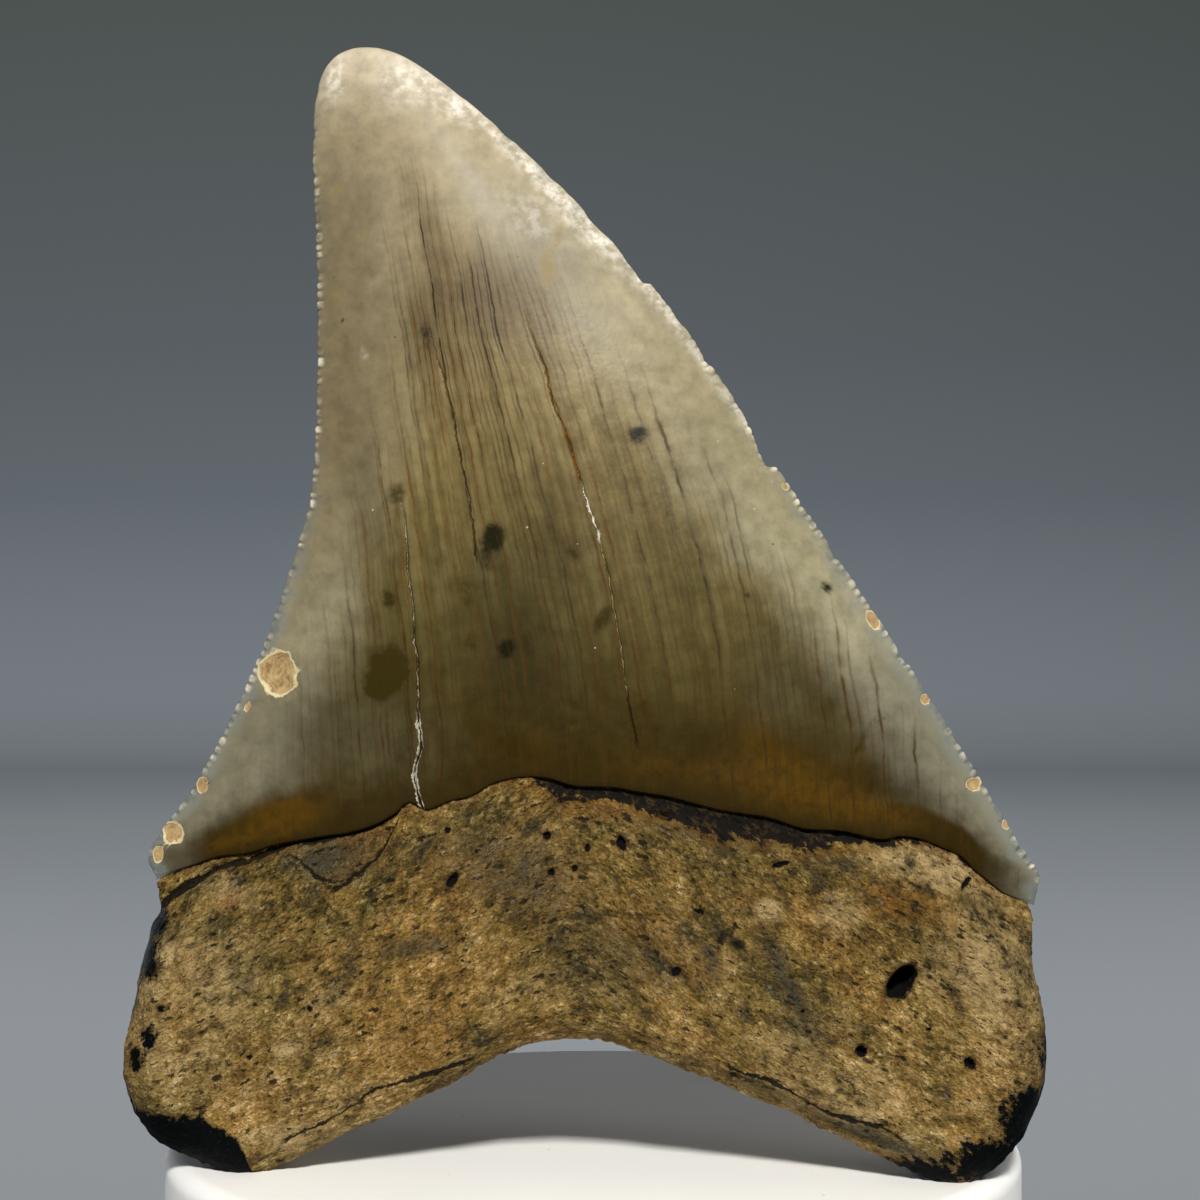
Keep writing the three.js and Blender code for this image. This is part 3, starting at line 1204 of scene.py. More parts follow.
    def gather(
        self,
        grids: dict[Face, dict[str, Array]],
        chosen: list[tuple[Face, int, Array]],
    ) -> tuple[Array, dict[str, Array]]:
        """Line up the chosen points of both faces, with the lip that ends each column.

        Args:
            grids: Both faces' layouts.
            chosen: Each column's face, number and rows.

        Returns:
            All places, and the values for every one of them.
        """
        triples = {
            "flow": ("growth", "edge_in", "rise"),
            "stain": ("olive", "dark", "warm"),
            "veil": ("shade", "hatch", "frost_and_sheen"),
        }
        names = ["edge_arc", "edge_out", "edge_sharp", "crack", "chip", "dull",
                 *[name for triple in triples.values() for name in triple]]
        first = grids[Face.LABIAL]
        places = [first["place"][0, :1]]
        gathered = {name: [first[name][0, :1]] for name in names}
        for face, column, rows in chosen:
            layout = grids[face]
            end = layout["place"][column, -1]
            depth = layout["depth"][column, -1]
            lip = []
            for drop, inset in zip(self.lip_drops, self.lip_insets, strict=True):
                inward = min(inset, 0.7 * depth) * -face.value
                lip.append(end + np.array([0.0, inward, -drop]))
            places.extend([layout["place"][column, rows], np.array(lip)])
            for name in names:
                kept = layout[name][column, rows]
                gathered[name].extend([kept, np.repeat(kept[-1:], len(lip), axis=0)])
        joined = {name: np.concatenate(parts) for name, parts in gathered.items()}
        packed = {key: np.stack([joined[name] for name in triple], axis=1)
                  for key, triple in triples.items()}
        single = ("edge_in", "edge_arc", "edge_out", "edge_sharp", "crack", "chip", "dull")
        return np.concatenate(places), {**{name: joined[name] for name in single}, **packed}

    def serrate(self, crown: Object, enamel: Material) -> None:
        """Cut the cutting edges into rounded beads with Geometry Nodes.

        Args:
            crown: The crown with its edge values, in millimetres.
            enamel: The material that the tree sets at its end.
        """
        tree, size, start = shape_tree("cutting edge serrations", {
            "Pitch": self.serration_pitch,
            "Notch depth": self.serration_depth,
            "Reach": self.serration_reach,
            "Swell": self.serration_swell,
            "Seed": 7.0,
        })
        arc, edge_in, sharp = (
            add(tree, NAMED, name, data_type="FLOAT")
            for name in ("edge_arc", "edge_in", "edge_sharp")
        )
        out = add(tree, NAMED, "edge_out", data_type="FLOAT_VECTOR")
        wander = add(tree, NOISE, W=arc, Scale=0.45, Detail=1.0,
                     noise_dimensions="1D")
        shifted = add(tree, MATH, wander, 0.9, arc, operation="MULTIPLY_ADD")
        counted = add(tree, MATH, shifted, size["Pitch"], operation="DIVIDE")
        within = add(tree, MATH, counted, operation="FRACT")
        centred = add(tree, MATH, within, 2.0, -1.0, operation="MULTIPLY_ADD")
        far = add(tree, MATH, centred, operation="ABSOLUTE")
        sunk = add(tree, MATH, far, 2.6, operation="POWER")
        bead = add(tree, MATH, 1.0, sunk, operation="SUBTRACT")
        number = add(tree, MATH, counted, operation="FLOOR")
        seeded = add(tree, MATH, number, size["Seed"], operation="ADD")
        luck = add(tree, "ShaderNodeTexWhiteNoise", W=seeded, noise_dimensions="1D")
        uneven = add(tree, RANGE, luck, 0.0, 1.0, 0.2, 1.3)
        inward = add(tree, RANGE, edge_in, 0.0, size["Reach"], 1.0, 0.0,
                     interpolation_type=SOFT)
        share = product(tree, sharp, uneven, inward)
        cut = product(tree, sunk, share)
        back = product(tree, cut, size["Notch depth"], -1.0)
        notch = add(tree, VECTOR, out, Scale=back, operation="SCALE")
        raised = product(tree, bead, share)
        swell = product(tree, raised, size["Swell"])
        normal = add(tree, "GeometryNodeInputNormal")
        push = add(tree, VECTOR, normal, Scale=swell, operation="SCALE")
        move = add(tree, VECTOR, notch, push, operation="ADD")
        shape = add(tree, "GeometryNodeSetPosition", start, Offset=move)
        for name, value in (("notch", cut), ("bead", raised)):
            shape = add(tree, STORE, shape, None, name, value,
                        data_type="FLOAT", domain="POINT")
        apply_shape(crown, tree, shape, size, enamel)


def join_columns(
    left: tuple[list[int], list[int]], right: tuple[list[int], list[int]]
) -> list[tuple[int, int, int]]:
    """Fill the strip between two columns that may have different rows.

    Args:
        left: The left column's vertex numbers, and the rows that they are on.
        right: The right column's vertex numbers and rows.

    Returns:
        Triangles that face the front.
    """
    left_numbers, left_rows = left
    right_numbers, right_rows = right
    faces = []
    i = 0
    j = 0
    while i < len(left_rows) - 1 or j < len(right_rows) - 1:
        step_left = j == len(right_rows) - 1
        if i < len(left_rows) - 1 and not step_left:
            step_left = left_rows[i + 1] <= right_rows[j + 1]
        if step_left:
            face = (left_numbers[i], left_numbers[i + 1], right_numbers[j])
            i += 1
        else:
            face = (left_numbers[i], right_numbers[j + 1], right_numbers[j])
            j += 1
        if len(set(face)) == 3:
            faces.append(face)
    return faces


def cap_faces(front: list[int], back: list[int]) -> list[tuple[int, int, int]]:
    """Close the underside between a front row and a back row that share their ends.

    Args:
        front: The front row's vertex numbers, from left to right.
        back: The back row's vertex numbers, from left to right.

    Returns:
        Triangles that face down.
    """
    faces = []
    for j in range(len(front) - 1):
        for face in ((front[j], back[j], front[j + 1]), (back[j], back[j + 1], front[j + 1])):
            if len(set(face)) == 3:
                faces.append(face)
    return faces


@dataclass(frozen=True)
class RootLine:
    """A crack or a layer's edge on the root's labial face, from left to right."""

    points: tuple[tuple[float, float], ...]
    half_width: float
    groove: float

    def gap(self, x: Array, z: Array) -> Array:
        """The distance from the line to each point.

        Args:
            x: The points' places across.
            z: Their heights.

        Returns:
            The distances in millimetres, no more than 9.
        """
        given = np.array(self.points)
        nearest = np.full(x.shape, 9.0)
        for start, end in zip(given, given[1:]):
            along = end - start
            share = ((x - start[0]) * along[0] + (z - start[1]) * along[1]) / (along @ along)
            share = np.clip(share, 0.0, 1.0)
            right = x - start[0] - share * along[0]
            up = z - start[1] - share * along[1]
            nearest = np.minimum(nearest, np.hypot(right, up))
        return nearest


@dataclass
class DentineRoot:
    """The rough two-lobed root, with its pores, cracks and worn black lobes."""

    form: ToothForm
    columns: int = 150
    rows: int = 76
    voxel: float = 0.245
    seam_step: float = 0.26
    hidden_inset: float = 0.5
    settle: float = 5.0
    seam_band: tuple[tuple[float, float], ...] = (
        (-34.0, 0.0), (-4.4, 0.0), (-3.6, 0.9), (2.6, 1.2), (6.1, 1.9), (10.4, 1.7),
        (14.5, 1.4), (18.7, 0.7), (23.0, 0.2), (31.0, 0.0),
    )
    seam_groove: float = 0.22
    lump_size: float = 2.6
    lump_height: float = 0.11
    grain_size: float = 0.55
    grain_height: float = 0.085
    pit_size: float = 1.3
    pit_depth: float = 0.30
    fibre_height: float = 0.10
    hole_floor: float = 0.55
    hole_rim: float = 1.15
    side_span: float = 60.0
    side_round: float = 1.5

    @cached_property
    def lines(self) -> dict[str, RootLine]:
        """The cracks and layers that show as dark lines."""
        return {
            "shoulder": RootLine((
                (-31.4, 18.2), (-30.9, 18.9), (-30.0, 19.7), (-28.2, 20.7), (-26.7, 21.6),
                (-24.5, 22.2), (-22.7, 22.9), (-21.3, 23.5), (-19.1, 24.0), (-17.3, 24.3),
                (-15.4, 24.9), (-14.0, 25.7),
            ), 0.20, 0.45),
            "flake": RootLine((
                (-18.6, 20.2), (-16.6, 21.5), (-15.1, 22.8), (-14.3, 24.2), (-13.6, 25.8),
            ), 0.10, 0.18),
            "chip": RootLine((
                (-21.6, 22.7), (-20.2, 21.9), (-19.1, 21.1), (-17.6, 21.0),
            ), 0.08, 0.14),
            "layer_left": RootLine((
                (-22.3, 2.4), (-20.5, 3.4), (-18.7, 4.2), (-17.3, 5.2), (-15.4, 6.5),
                (-14.5, 6.8), (-11.5, 7.7), (-8.4, 8.8),
            ), 0.09, 0.12),
            "layer_right": RootLine((
                (8.6, 8.7), (9.6, 8.2), (11.9, 7.4), (15.6, 5.3), (17.6, 4.7), (19.4, 4.2),
                (21.2, 3.0),
            ), 0.10, 0.14),
        }

    @cached_property
    def foramina(self) -> tuple[Mark, ...]:
        """The holes of the labial face: each strength is a depth in millimetres."""
        return marks(
            (20.7, 14.3, 0.78, 1.4, 2.4, 35), (18.0, 9.6, 0.42, 0.38, 0.9, 60),
            (25.4, 8.8, 0.5, 0.36, 0.7, 60), (-3.4, 24.3, 0.28, 0.32, 0.6),
            (-0.6, 23.5, 0.22, 0.28, 0.5), (1.7, 23.8, 0.62, 0.3, 0.7, 70),
            (-3.1, 21.8, 0.26, 0.24, 0.5), (-1.5, 22.1, 0.2, 0.26, 0.5),
            (4.5, 25.6, 0.7, 0.22, 0.6, 10), (-9.9, 21.2, 0.6, 0.3, 0.5, -50),
            (-10.3, 24.6, 0.24, 0.32, 0.4), (5.4, 15.1, 0.3, 0.4, 0.4, 30),
            (25.3, 21.0, 0.6, 0.16, 0.5, -45), (12.6, 22.4, 0.7, 0.18, 0.5, -12),
            (22.6, 11.2, 0.22, 0.18, 0.4), (-19.9, 12.2, 0.2, 0.2, 0.4), (14.0, 12.4, 0.2, 0.26, 0.4),
            (7.0, 19.2, 0.4, 0.16, 0.4, 20), (-24.2, 8.7, 0.22, 0.18, 0.4),
        )

    @cached_property
    def back_foramina(self) -> tuple[Mark, ...]:
        """The holes of the lingual face, with the central one on the boss."""
        return marks(
            (-0.5, 19.5, 0.7, 0.9, 2.2), (2.6, 16.8, 0.3, 0.4, 0.8), (-4.4, 21.6, 0.25, 0.35, 0.6),
            (-13.0, 16.5, 0.35, 0.3, 0.7), (12.0, 15.0, 0.3, 0.35, 0.7), (19.5, 10.5, 0.3, 0.25, 0.6),
            (-22.0, 10.0, 0.3, 0.3, 0.6),
        )

    @cached_property
    def rust_marks(self) -> tuple[Mark, ...]:
        """Warm rust-coloured zones."""
        return marks(
            (20.6, 19.8, 3.0, 1.4, 1.5, 10), (-11.8, 10.3, 3.6, 2.4, 0.75, -20),
            (-25.4, 19.6, 0.6, 0.9, 1.8), (24.5, 15.2, 2.6, 2.2, 0.75), (0.5, 26.0, 4.2, 0.8, 0.7),
            (-18.5, 15.0, 4.4, 2.6, 0.35, 20), (8.0, 10.6, 4.5, 1.4, 0.45, 10),
            (11.5, 19.8, 4.2, 1.0, 0.6, 8), (-26.5, 6.5, 3.2, 2.2, 0.35), (25.6, 5.4, 3.4, 2.4, 0.4),
            (-21.0, 9.0, 3.0, 1.8, 0.3), (3.0, 17.6, 2.8, 1.2, 0.35),
        )

    @cached_property
    def grey_marks(self) -> tuple[Mark, ...]:
        """Grey-green zones."""
        return marks(
            (2.1, 15.9, 7.5, 3.4, 0.55), (12.9, 14.6, 0.8, 4.2, 1.15, -24),
            (-17.6, 22.8, 3.0, 1.7, 1.0, -14), (-12.4, 16.6, 3.0, 0.7, 1.1, -8),
            (7.8, 15.8, 0.5, 1.4, 1.3, -15), (-24.4, 13.8, 0.8, 0.7, 1.2),
            (12.6, 6.4, 5.0, 0.5, 1.2, 24), (18.6, 3.6, 3.6, 0.6, 1.3, 20), (-6.5, 22.6, 5.0, 3.0, 0.7),
            (16.0, 11.5, 4.2, 2.0, 0.3), (-19.5, 22.0, 2.2, 1.0, 0.55, 10),
            (26.0, 19.6, 2.6, 1.0, 0.4, 10), (7.5, 24.6, 7.0, 1.0, 0.7, 8),
            (18.0, 4.0, 3.6, 1.2, 0.5, 22), (-3.9, 20.8, 3.2, 1.8, 0.5), (-19.3, 10.3, 2.4, 1.6, 0.4),
            (-23.5, 6.1, 2.4, 1.6, 0.45), (-13.7, 10.3, 2.6, 1.6, 0.3), (22.6, 2.0, 3.0, 1.3, 0.45, 10),
            (-22.0, 3.6, 2.4, 0.9, 0.4, -20),
        )

    @cached_property
    def pale_marks(self) -> tuple[Mark, ...]:
        """Cream and light sandy zones."""
        return marks(
            (-30.0, 16.0, 0.8, 0.9, 1.9), (-9.4, 26.7, 0.8, 0.2, 1.6, 15), (-31.4, 11.5, 1.4, 3.6, 0.9),
            (-28.0, 11.0, 3.6, 6.0, 0.55, 12), (11.7, 19.3, 0.75, 0.6, 3.2),
            (27.8, 13.0, 2.6, 6.5, 0.9, -8), (16.5, 19.0, 1.6, 1.3, 0.9),
            (5.0, 14.6, 0.3, 0.8, 0.9, 30), (-4.0, 13.8, 5.0, 1.8, 0.3, -10),
            (-17.5, 6.2, 3.4, 1.5, 0.4, -25), (-21.5, 9.2, 1.0, 0.6, 1.4),
            (-18.6, 12.8, 1.8, 0.9, 0.8, -20), (17.6, 6.6, 4.6, 2.2, 0.8, 20),
            (21.5, 22.9, 3.0, 1.5, 1.2), (25.6, 22.4, 2.4, 1.3, 1.2, -20), (24.4, 15.6, 3.0, 2.6, 0.6),
            (-26.3, 15.2, 3.2, 2.6, 0.45), (-26.3, 20.6, 3.0, 1.0, 0.6, 20),
            (13.2, 10.0, 2.4, 2.0, 0.5), (14.3, 6.1, 2.6, 1.3, 0.6, 22),
            (-21.0, 2.8, 2.8, 1.2, 1.4, -20), (24.4, 20.8, 2.6, 0.5, 0.6, 10),
        )

    def black_field(self, x: Array, y: Array, z: Array) -> Array:
        """How far inside the black patches each point is, in millimetres.

        Args:
            x: The points' places across.
            y: Their depths.
            z: Their heights.

        Returns:
            Positive distances inside a patch, and negative ones outside.
        """
        lobe = np.array([(-36.0, 6.4), (-33.8, 5.9), (-33.0, 4.6), (-28.2, 4.4), (-26.7, 3.8),
                         (-25.4, 2.9), (-24.7, 1.7), (-24.4, -1.6), (-20.0, -3.0), (32.0, -3.0)])
        field = np.interp(x, lobe[:, 0], lobe[:, 1]) - z
        patches = marks(
            (-30.9, 17.6, 0.9, 1.0, 0.9, 20), (-32.1, 15.8, 1.2, 2.2, 1.0, 14),
            (-31.2, 14.7, 0.9, 0.7, 0.8), (-30.4, 12.0, 0.45, 0.4, 0.6), (-31.3, 10.1, 0.6, 0.8, 0.5),
            (-32.4, 8.4, 0.7, 1.0, 0.6), (-33.1, 12.2, 0.6, 1.0, 0.5), (31.7, 9.6, 1.3, 3.6),
            (30.0, 4.0, 2.5, 3.2, 1.3, -20), (27.2, 1.6, 3.2, 1.9), (22.6, 0.6, 3.4, 1.1, 0.75, 12),
            (30.8, 20.0, 0.9, 1.2, 0.5),
        )
        for patch in patches:
            field = np.maximum(field, (1.0 - patch.reach(x, z)) * patch.strength)
        behind = smooth(y, 2.0, 5.0)
        return field - 0.9 * behind

    def shell(self) -> tuple[Array, Array]:
        """Lay out the root's closed shell, with its top hidden inside the crown.

        Returns:
            The places in millimetres of the tooth's plane, and triangles.
        """
        across = np.linspace(0.0, 1.0, self.columns + 1)
        hidden = (0.93, 0.955, 0.975, 0.99)
        pinch = (0.88, 0.92, 0.95, 0.98)
        sides = []
        for face in Face:
            rows = []
            for down, close in zip(hidden, pinch, strict=True):
                inner = 0.5 + (across - 0.5) * close
                shares = np.full(inner.shape, down)
                place = self.form.crown_place(face, inner, shares)
                depth = self.form.crown_depth(face, inner, shares) - self.hidden_inset
                rows.append((place, np.maximum(depth, 0.02)))
            for down in np.linspace(0.0, 1.0, self.rows + 1):
                shares = np.full(across.shape, down)
                place = self.face_place(face, across, shares)
                rows.append((place, self.face_depth(face, across, place)))
            places = [
                np.stack([p[:, 0], self.form.bend(p[:, 1]) + face.value * d, p[:, 1]], axis=1)
                for p, d in rows
            ]
            sides.append(np.stack(places))
        height, width = sides[0].shape[:2]
        front = np.arange(height * width).reshape(height, width)
        back = front + height * width
        faces = []
        for grid, turned in ((front, False), (back, True)):
            a, b = grid[:-1, :-1].ravel(), grid[:-1, 1:].ravel()
            c, d = grid[1:, :-1].ravel(), grid[1:, 1:].ravel()
            made = quad_faces(a, b, c, d)
            faces.append(made[:, ::-1] if turned else made)
        rims = (
            (front[0], back[0], False), (front[-1], back[-1], True),
            (front[:, 0], back[:, 0], True), (front[:, -1], back[:, -1], False),
        )
        for near, far, turned in rims:
            made = quad_faces(near[:-1], far[:-1], near[1:], far[1:])
            faces.append(made[:, ::-1] if turned else made)
        return np.concatenate([side.reshape(-1, 3) for side in sides]), np.concatenate(faces)

    def face_place(self, face: Face, across: Array, down: Array) -> Array:
        """Points of the root on a face, which starts at that face's end of the enamel.

        Args:
            face: The face.
            across: Shares from the left side to the right one.
            down: Shares from top to bottom.

        Returns:
            The points' x and z.
        """
        place = self.form.root_place(across, down)
        rise = self.form.line_of(face).at(across) - self.form.front_line.at(across)
        return place + rise * ((1.0 - down) ** 2)[:, None]

    def face_depth(self, face: Face, across: Array, place: Array) -> Array:
        """The root's depth on a face, which settles from the crown's depth to its own.

        Args:
            face: The face.
            across: Shares from the left side to the right one.
            place: The points' x and z.

        Returns:
            The depths off the middle.
        """
        x, z = place[:, 0], place[:, 1]
        start = self.form.crown_depth(face, across, np.ones(across.shape)) - self.seam_step
        below = self.form.line_of(face).height_at(x) - z
        share = smooth(below, 0.0, self.settle)
        own = self.form.root_depth(face, x, z)
        rim = quarter_round(np.minimum(across, 1.0 - across) * self.side_span, self.side_round)
        return np.maximum((1.0 - share) * start * rim + share * own, 0.0)

    def values(self, places: Array) -> dict[str, Array]:
        """The stains, holes and depths below the enamel for every point of the root.

        Args:
            places: The points in millimetres of the tooth's plane.

        Returns:
            The values by the names that the dentine's material reads.
        """
        x, y, z = places.T
        labial = 1.0 - smooth(y - self.form.bend(z), -0.4, 0.8)
        lingual = 1.0 - labial
        holes = nearest_mark(self.foramina, x, z) * labial + FAR_REACH * lingual
        back_holes = nearest_mark(self.back_foramina, x, z) * lingual + FAR_REACH * labial
        black = self.black_field(x, y, z)
        front_drop = self.form.front_line.height_at(x) - z
        back_drop = self.form.back_line.height_at(x) - z
        return {
            "hole": np.minimum(holes, back_holes),
            "black": black,
            "seam": front_drop - self.band_width(x),
            "front": labial,
            "drop": front_drop * labial + back_drop * lingual,
            "tint": np.stack([soft_marks(group, x, z) for group in (
                self.rust_marks, self.grey_marks, self.pale_marks)], axis=1),
            "calm": np.clip(0.75 * smooth(black, -0.3, 0.6), 0.0, 1.0),
        }

    def build(self, dentine: Material) -> Object:
        """Make the root as one closed mesh in the frame's place.

        Args:
            dentine: The material of the whole root.

        Returns:
            The finished root.
        """
        places, faces = self.shell()
        root = mesh_object("tooth_root", places, faces)
        remesh = root.modifiers.new("even skin", "REMESH")
        remesh.mode = "VOXEL"
        remesh.voxel_size = self.voxel
        plain_mesh(root)
        for name, numbers in self.values(vertex_places(root.data)).items():
            store_values(root.data, name, numbers)
        self.roughen(root, dentine)
        finished = plain_mesh(root)
        carved = self.carve(vertex_places(finished.data))
        finished.data.shade_smooth()
        move_vertices(finished.data, self.form.to_frame(carved))
        return finished

    def band_width(self, x: Array) -> Array:
        """The height of the blue-black band under the enamel."""
        return np.interp(x, *np.array(self.seam_band).T)

    def hole_depth(self, holes: tuple[Mark, ...], x: Array, z: Array) -> Array:
        """Find how deep the holes sink each point.

        Args:
            holes: The holes of one face, each with its depth as its strength.
            x: The points' places across.
            z: Their heights.

        Returns:
            The depths in millimetres.
        """
        sink = np.zeros(x.shape)
        for hole in holes:
            share = 1.0 - smooth(hole.reach(x, z), self.hole_floor, self.hole_rim)
            sink = np.maximum(sink, hole.strength * share)
        return sink

    def carve(self, places: Array) -> Array:
        """Sink the holes and the cracks, and wear the lobes flat where they stand.

        Args:
            places: The rough points in millimetres of the tooth's plane.

        Returns:
            The carved points.
        """
        x, y, z = places.T
        labial = 1.0 - smooth(y - self.form.bend(z), -0.8, 0.2)
        lingual = smooth(y - self.form.bend(z), 1.0, 3.0)
        sink = self.hole_depth(self.foramina, x, z)
        for line in self.lines.values():
            sink = np.maximum(sink, line.groove * bell(line.gap(x, z), line.half_width + 0.08))
        drop = self.form.front_line.height_at(x) - z
        below_band = self.band_width(x) - drop
        sink += self.seam_groove * smooth(below_band, -0.1, 0.3) * smooth(drop, -0.6, 0.1)
        y = y + sink * labial - self.hole_depth(self.back_foramina, x, z) * lingual
        return np.stack([x, y, np.maximum(z, 0.0)], axis=1)

    def roughen(self, root: Object, dentine: Material) -> None:
        """Give the root its lumps, grain, pits and fibres with Geometry Nodes.

        Args:
            root: The even-skinned root, in millimetres.
            dentine: The material that the tree sets at its end.
        """
        tree, size, start = shape_tree("root relief", {
            "Lump size": self.lump_size,
            "Lump height": self.lump_height,
            "Grain size": self.grain_size,
            "Grain height": self.grain_height,
            "Pit size": self.pit_size,
            "Pit depth": self.pit_depth,
            "Fibre height": self.fibre_height,
            "Seed": 3.0,
        })
        place = add(tree, "GeometryNodeInputPosition")
        reliefs = []
        for kind in ("Lump", "Grain"):
            scale = add(tree, MATH, 1.0, size[f"{kind} size"], operation="DIVIDE")
            noise = add(tree, NOISE, place, size["Seed"], scale, 2.0,
                        noise_dimensions="4D")
            swing = add(tree, MATH, noise, 4.0, -2.0, operation="MULTIPLY_ADD")
            reliefs.append(product(tree, swing, size[f"{kind} height"]))
        layer, drawn = arch_grain(tree, place, (0.28, 0.6, 1.9))
        bent = arch_grain(tree, place, (0.5, 0.9, 1.3))[1]
        warp = add(tree, NOISE, place, None, 1.1, 2.0, out="Color")
        bent = add(tree, VECTOR, warp, (1.3, 1.3, 1.3), bent,
                   operation="MULTIPLY_ADD")
        scale = add(tree, MATH, 1.0, size["Pit size"], operation="DIVIDE")
        cell = add(tree, CELLS, bent, size["Seed"], scale, voronoi_dimensions="4D")
        luck = add(tree, PARTS, cell.node.outputs["Color"])
        wide = add(tree, RANGE, luck, 0.0, 1.0, 0.0, 0.4)
        within = add(tree, MATH, wide, cell, operation="SUBTRACT")
        bowl = add(tree, RANGE, within, 0.0, 0.2, 0.0, -1.0, interpolation_type=SOFT)
        reliefs.append(product(tree, bowl, size["Pit depth"]))
        thread = add(tree, NOISE, drawn, Scale=1.0, Detail=2.0)
        ridge = add(tree, MATH, thread, 4.0, -2.0, operation="MULTIPLY_ADD")
        low = add(tree, RANGE, layer, 18.0, 10.0, 0.15, 1.0)
        tall = product(tree, low, size["Fibre height"])
        reliefs.append(product(tree, ridge, tall))
        total = reliefs[0]
        for relief in reliefs[1:]:
            total = add(tree, MATH, total, relief, operation="ADD")
        calm = add(tree, NAMED, "calm", data_type="FLOAT")
        rough = add(tree, MATH, 1.0, calm, operation="SUBTRACT")
        height = product(tree, total, rough)
        normal = add(tree, "GeometryNodeInputNormal")
        push = add(tree, VECTOR, normal, Scale=height, operation="SCALE")
        shape = add(tree, "GeometryNodeSetPosition", start, Offset=push)
        shape = add(tree, STORE, shape, None, "relief", height,
                    data_type="FLOAT", domain="POINT")
        apply_shape(root, tree, shape, size, dentine)


def arch_grain(
    tree: Tree, place: Socket, stretch: tuple[float, float, float]
) -> tuple[Socket, Socket]:
    """Bend a place so that a pattern on it runs along the root's lower edges, over the arch.

    Args:
        tree: The shader or geometry tree.
        place: The tooth's plane in millimetres.
        stretch: How many of the pattern's features fit in a millimetre each way.

    Returns:
        The height over the arch's slopes, and the bent and stretched place.
    """
    parts = add(tree, PARTS, place).node.outputs
    aside = add(tree, MATH, parts["X"], ARCH_MIDDLE, operation="SUBTRACT")
    mirrored = product(tree, aside, -1.0)
    arch = add(tree, MATH, aside, mirrored, 6.0, operation="SMOOTH_MAX")
    layer = add(tree, MATH, arch, ARCH_SLOPE, parts["Z"], operation="MULTIPLY_ADD")
    bent = add(tree, "ShaderNodeCombineXYZ", parts["X"], parts["Y"], layer)
    return layer, add(tree, VECTOR, bent, stretch, operation="MULTIPLY")


@dataclass
class DisplayBlock:
    """The low round block that the tooth stands on, with softened rims."""

    radius: float
    height: float
    top_rim: float = 1.4
    base_rim: float = 1.0
    rim_steps: int = 12
    wall_steps: int = 14
    face_rings: int = 24
    sides: int = 256

    def profile(self) -> Array:
        """Radii and heights from the centre of the top, over the rims, to the centre below.

        Returns:
            Rows of radius and height.
        """
        rings = np.linspace(0.0, 1.0, self.face_rings)[1:-1]
        turn = np.linspace(0.0, math.pi / 2, self.rim_steps + 1)
        flat_top = self.radius - self.top_rim
        flat_base = self.radius - self.base_rim
        steps = [(flat_top * share, self.height) for share in rings]
        steps += [(flat_top + self.top_rim * math.sin(a),
                   self.height - self.top_rim * (1 - math.cos(a))) for a in turn]
        wall = np.linspace(self.height - self.top_rim, self.base_rim, self.wall_steps + 1)[1:-1]
        steps += [(self.radius, z) for z in wall]
        steps += [(flat_base + self.base_rim * math.cos(a),
                   self.base_rim * (1 - math.sin(a))) for a in turn]
        steps += [(flat_base * share, 0.0) for share in rings[::-1]]
        return np.array(steps)

    def build(self, plastic: Material) -> Object:
        """Turn the profile into one closed mesh and dress it.

        Args:
            plastic: The block's material.

        Returns:
            The finished block.
        """
        profile = self.profile()
        angles = np.linspace(0.0, 2 * math.pi, self.sides, endpoint=False)
        rings = np.stack([
            profile[:, :1] * np.cos(angles),
            profile[:, :1] * np.sin(angles),
            np.broadcast_to(profile[:, 1:], (len(profile), self.sides)),
        ], axis=-1)
        places = np.concatenate([
            rings.reshape(-1, 3), [[0.0, 0.0, self.height], [0.0, 0.0, 0.0]]
        ])
        top_centre = len(places) - 2
        base_centre = len(places) - 1
        numbers = np.arange(len(profile) * self.sides).reshape(len(profile), self.sides)
        ahead = np.roll(numbers, -1, axis=1)
        centre = np.full(self.sides, top_centre)
        under = np.full(self.sides, base_centre)
        faces = np.concatenate([
            quad_faces(*(corners.ravel() for corners in (
                numbers[:-1], ahead[:-1], numbers[1:], ahead[1:]))),
            np.stack([centre, numbers[0], ahead[0]], axis=1),
            np.stack([under, ahead[-1], numbers[-1]], axis=1),
        ])
        block = mesh_object("white_display_block", places * MM, faces)
        block.data.materials.append(plastic)
        return block


@dataclass(frozen=True)
class ToothFinish(Finish):
    """A finish that reads places on the tooth's own plane."""

    form: ToothForm

    @cached_property
    def place(self) -> Socket:
        """The tooth's plane in millimetres."""
        return self.form.plane_coordinates(self.made.node_tree)

    @cached_property
    def spot(self) -> Outputs:
        """The place's x, depth and z."""
        return self.add(PARTS, self.place).node.outputs

    def stored(self, name: str) -> Outputs:
        """The three numbers that each vertex keeps under a name."""
        return self.add(PARTS, self.add(STORED, attribute_name=name, out="Vector")).node.outputs


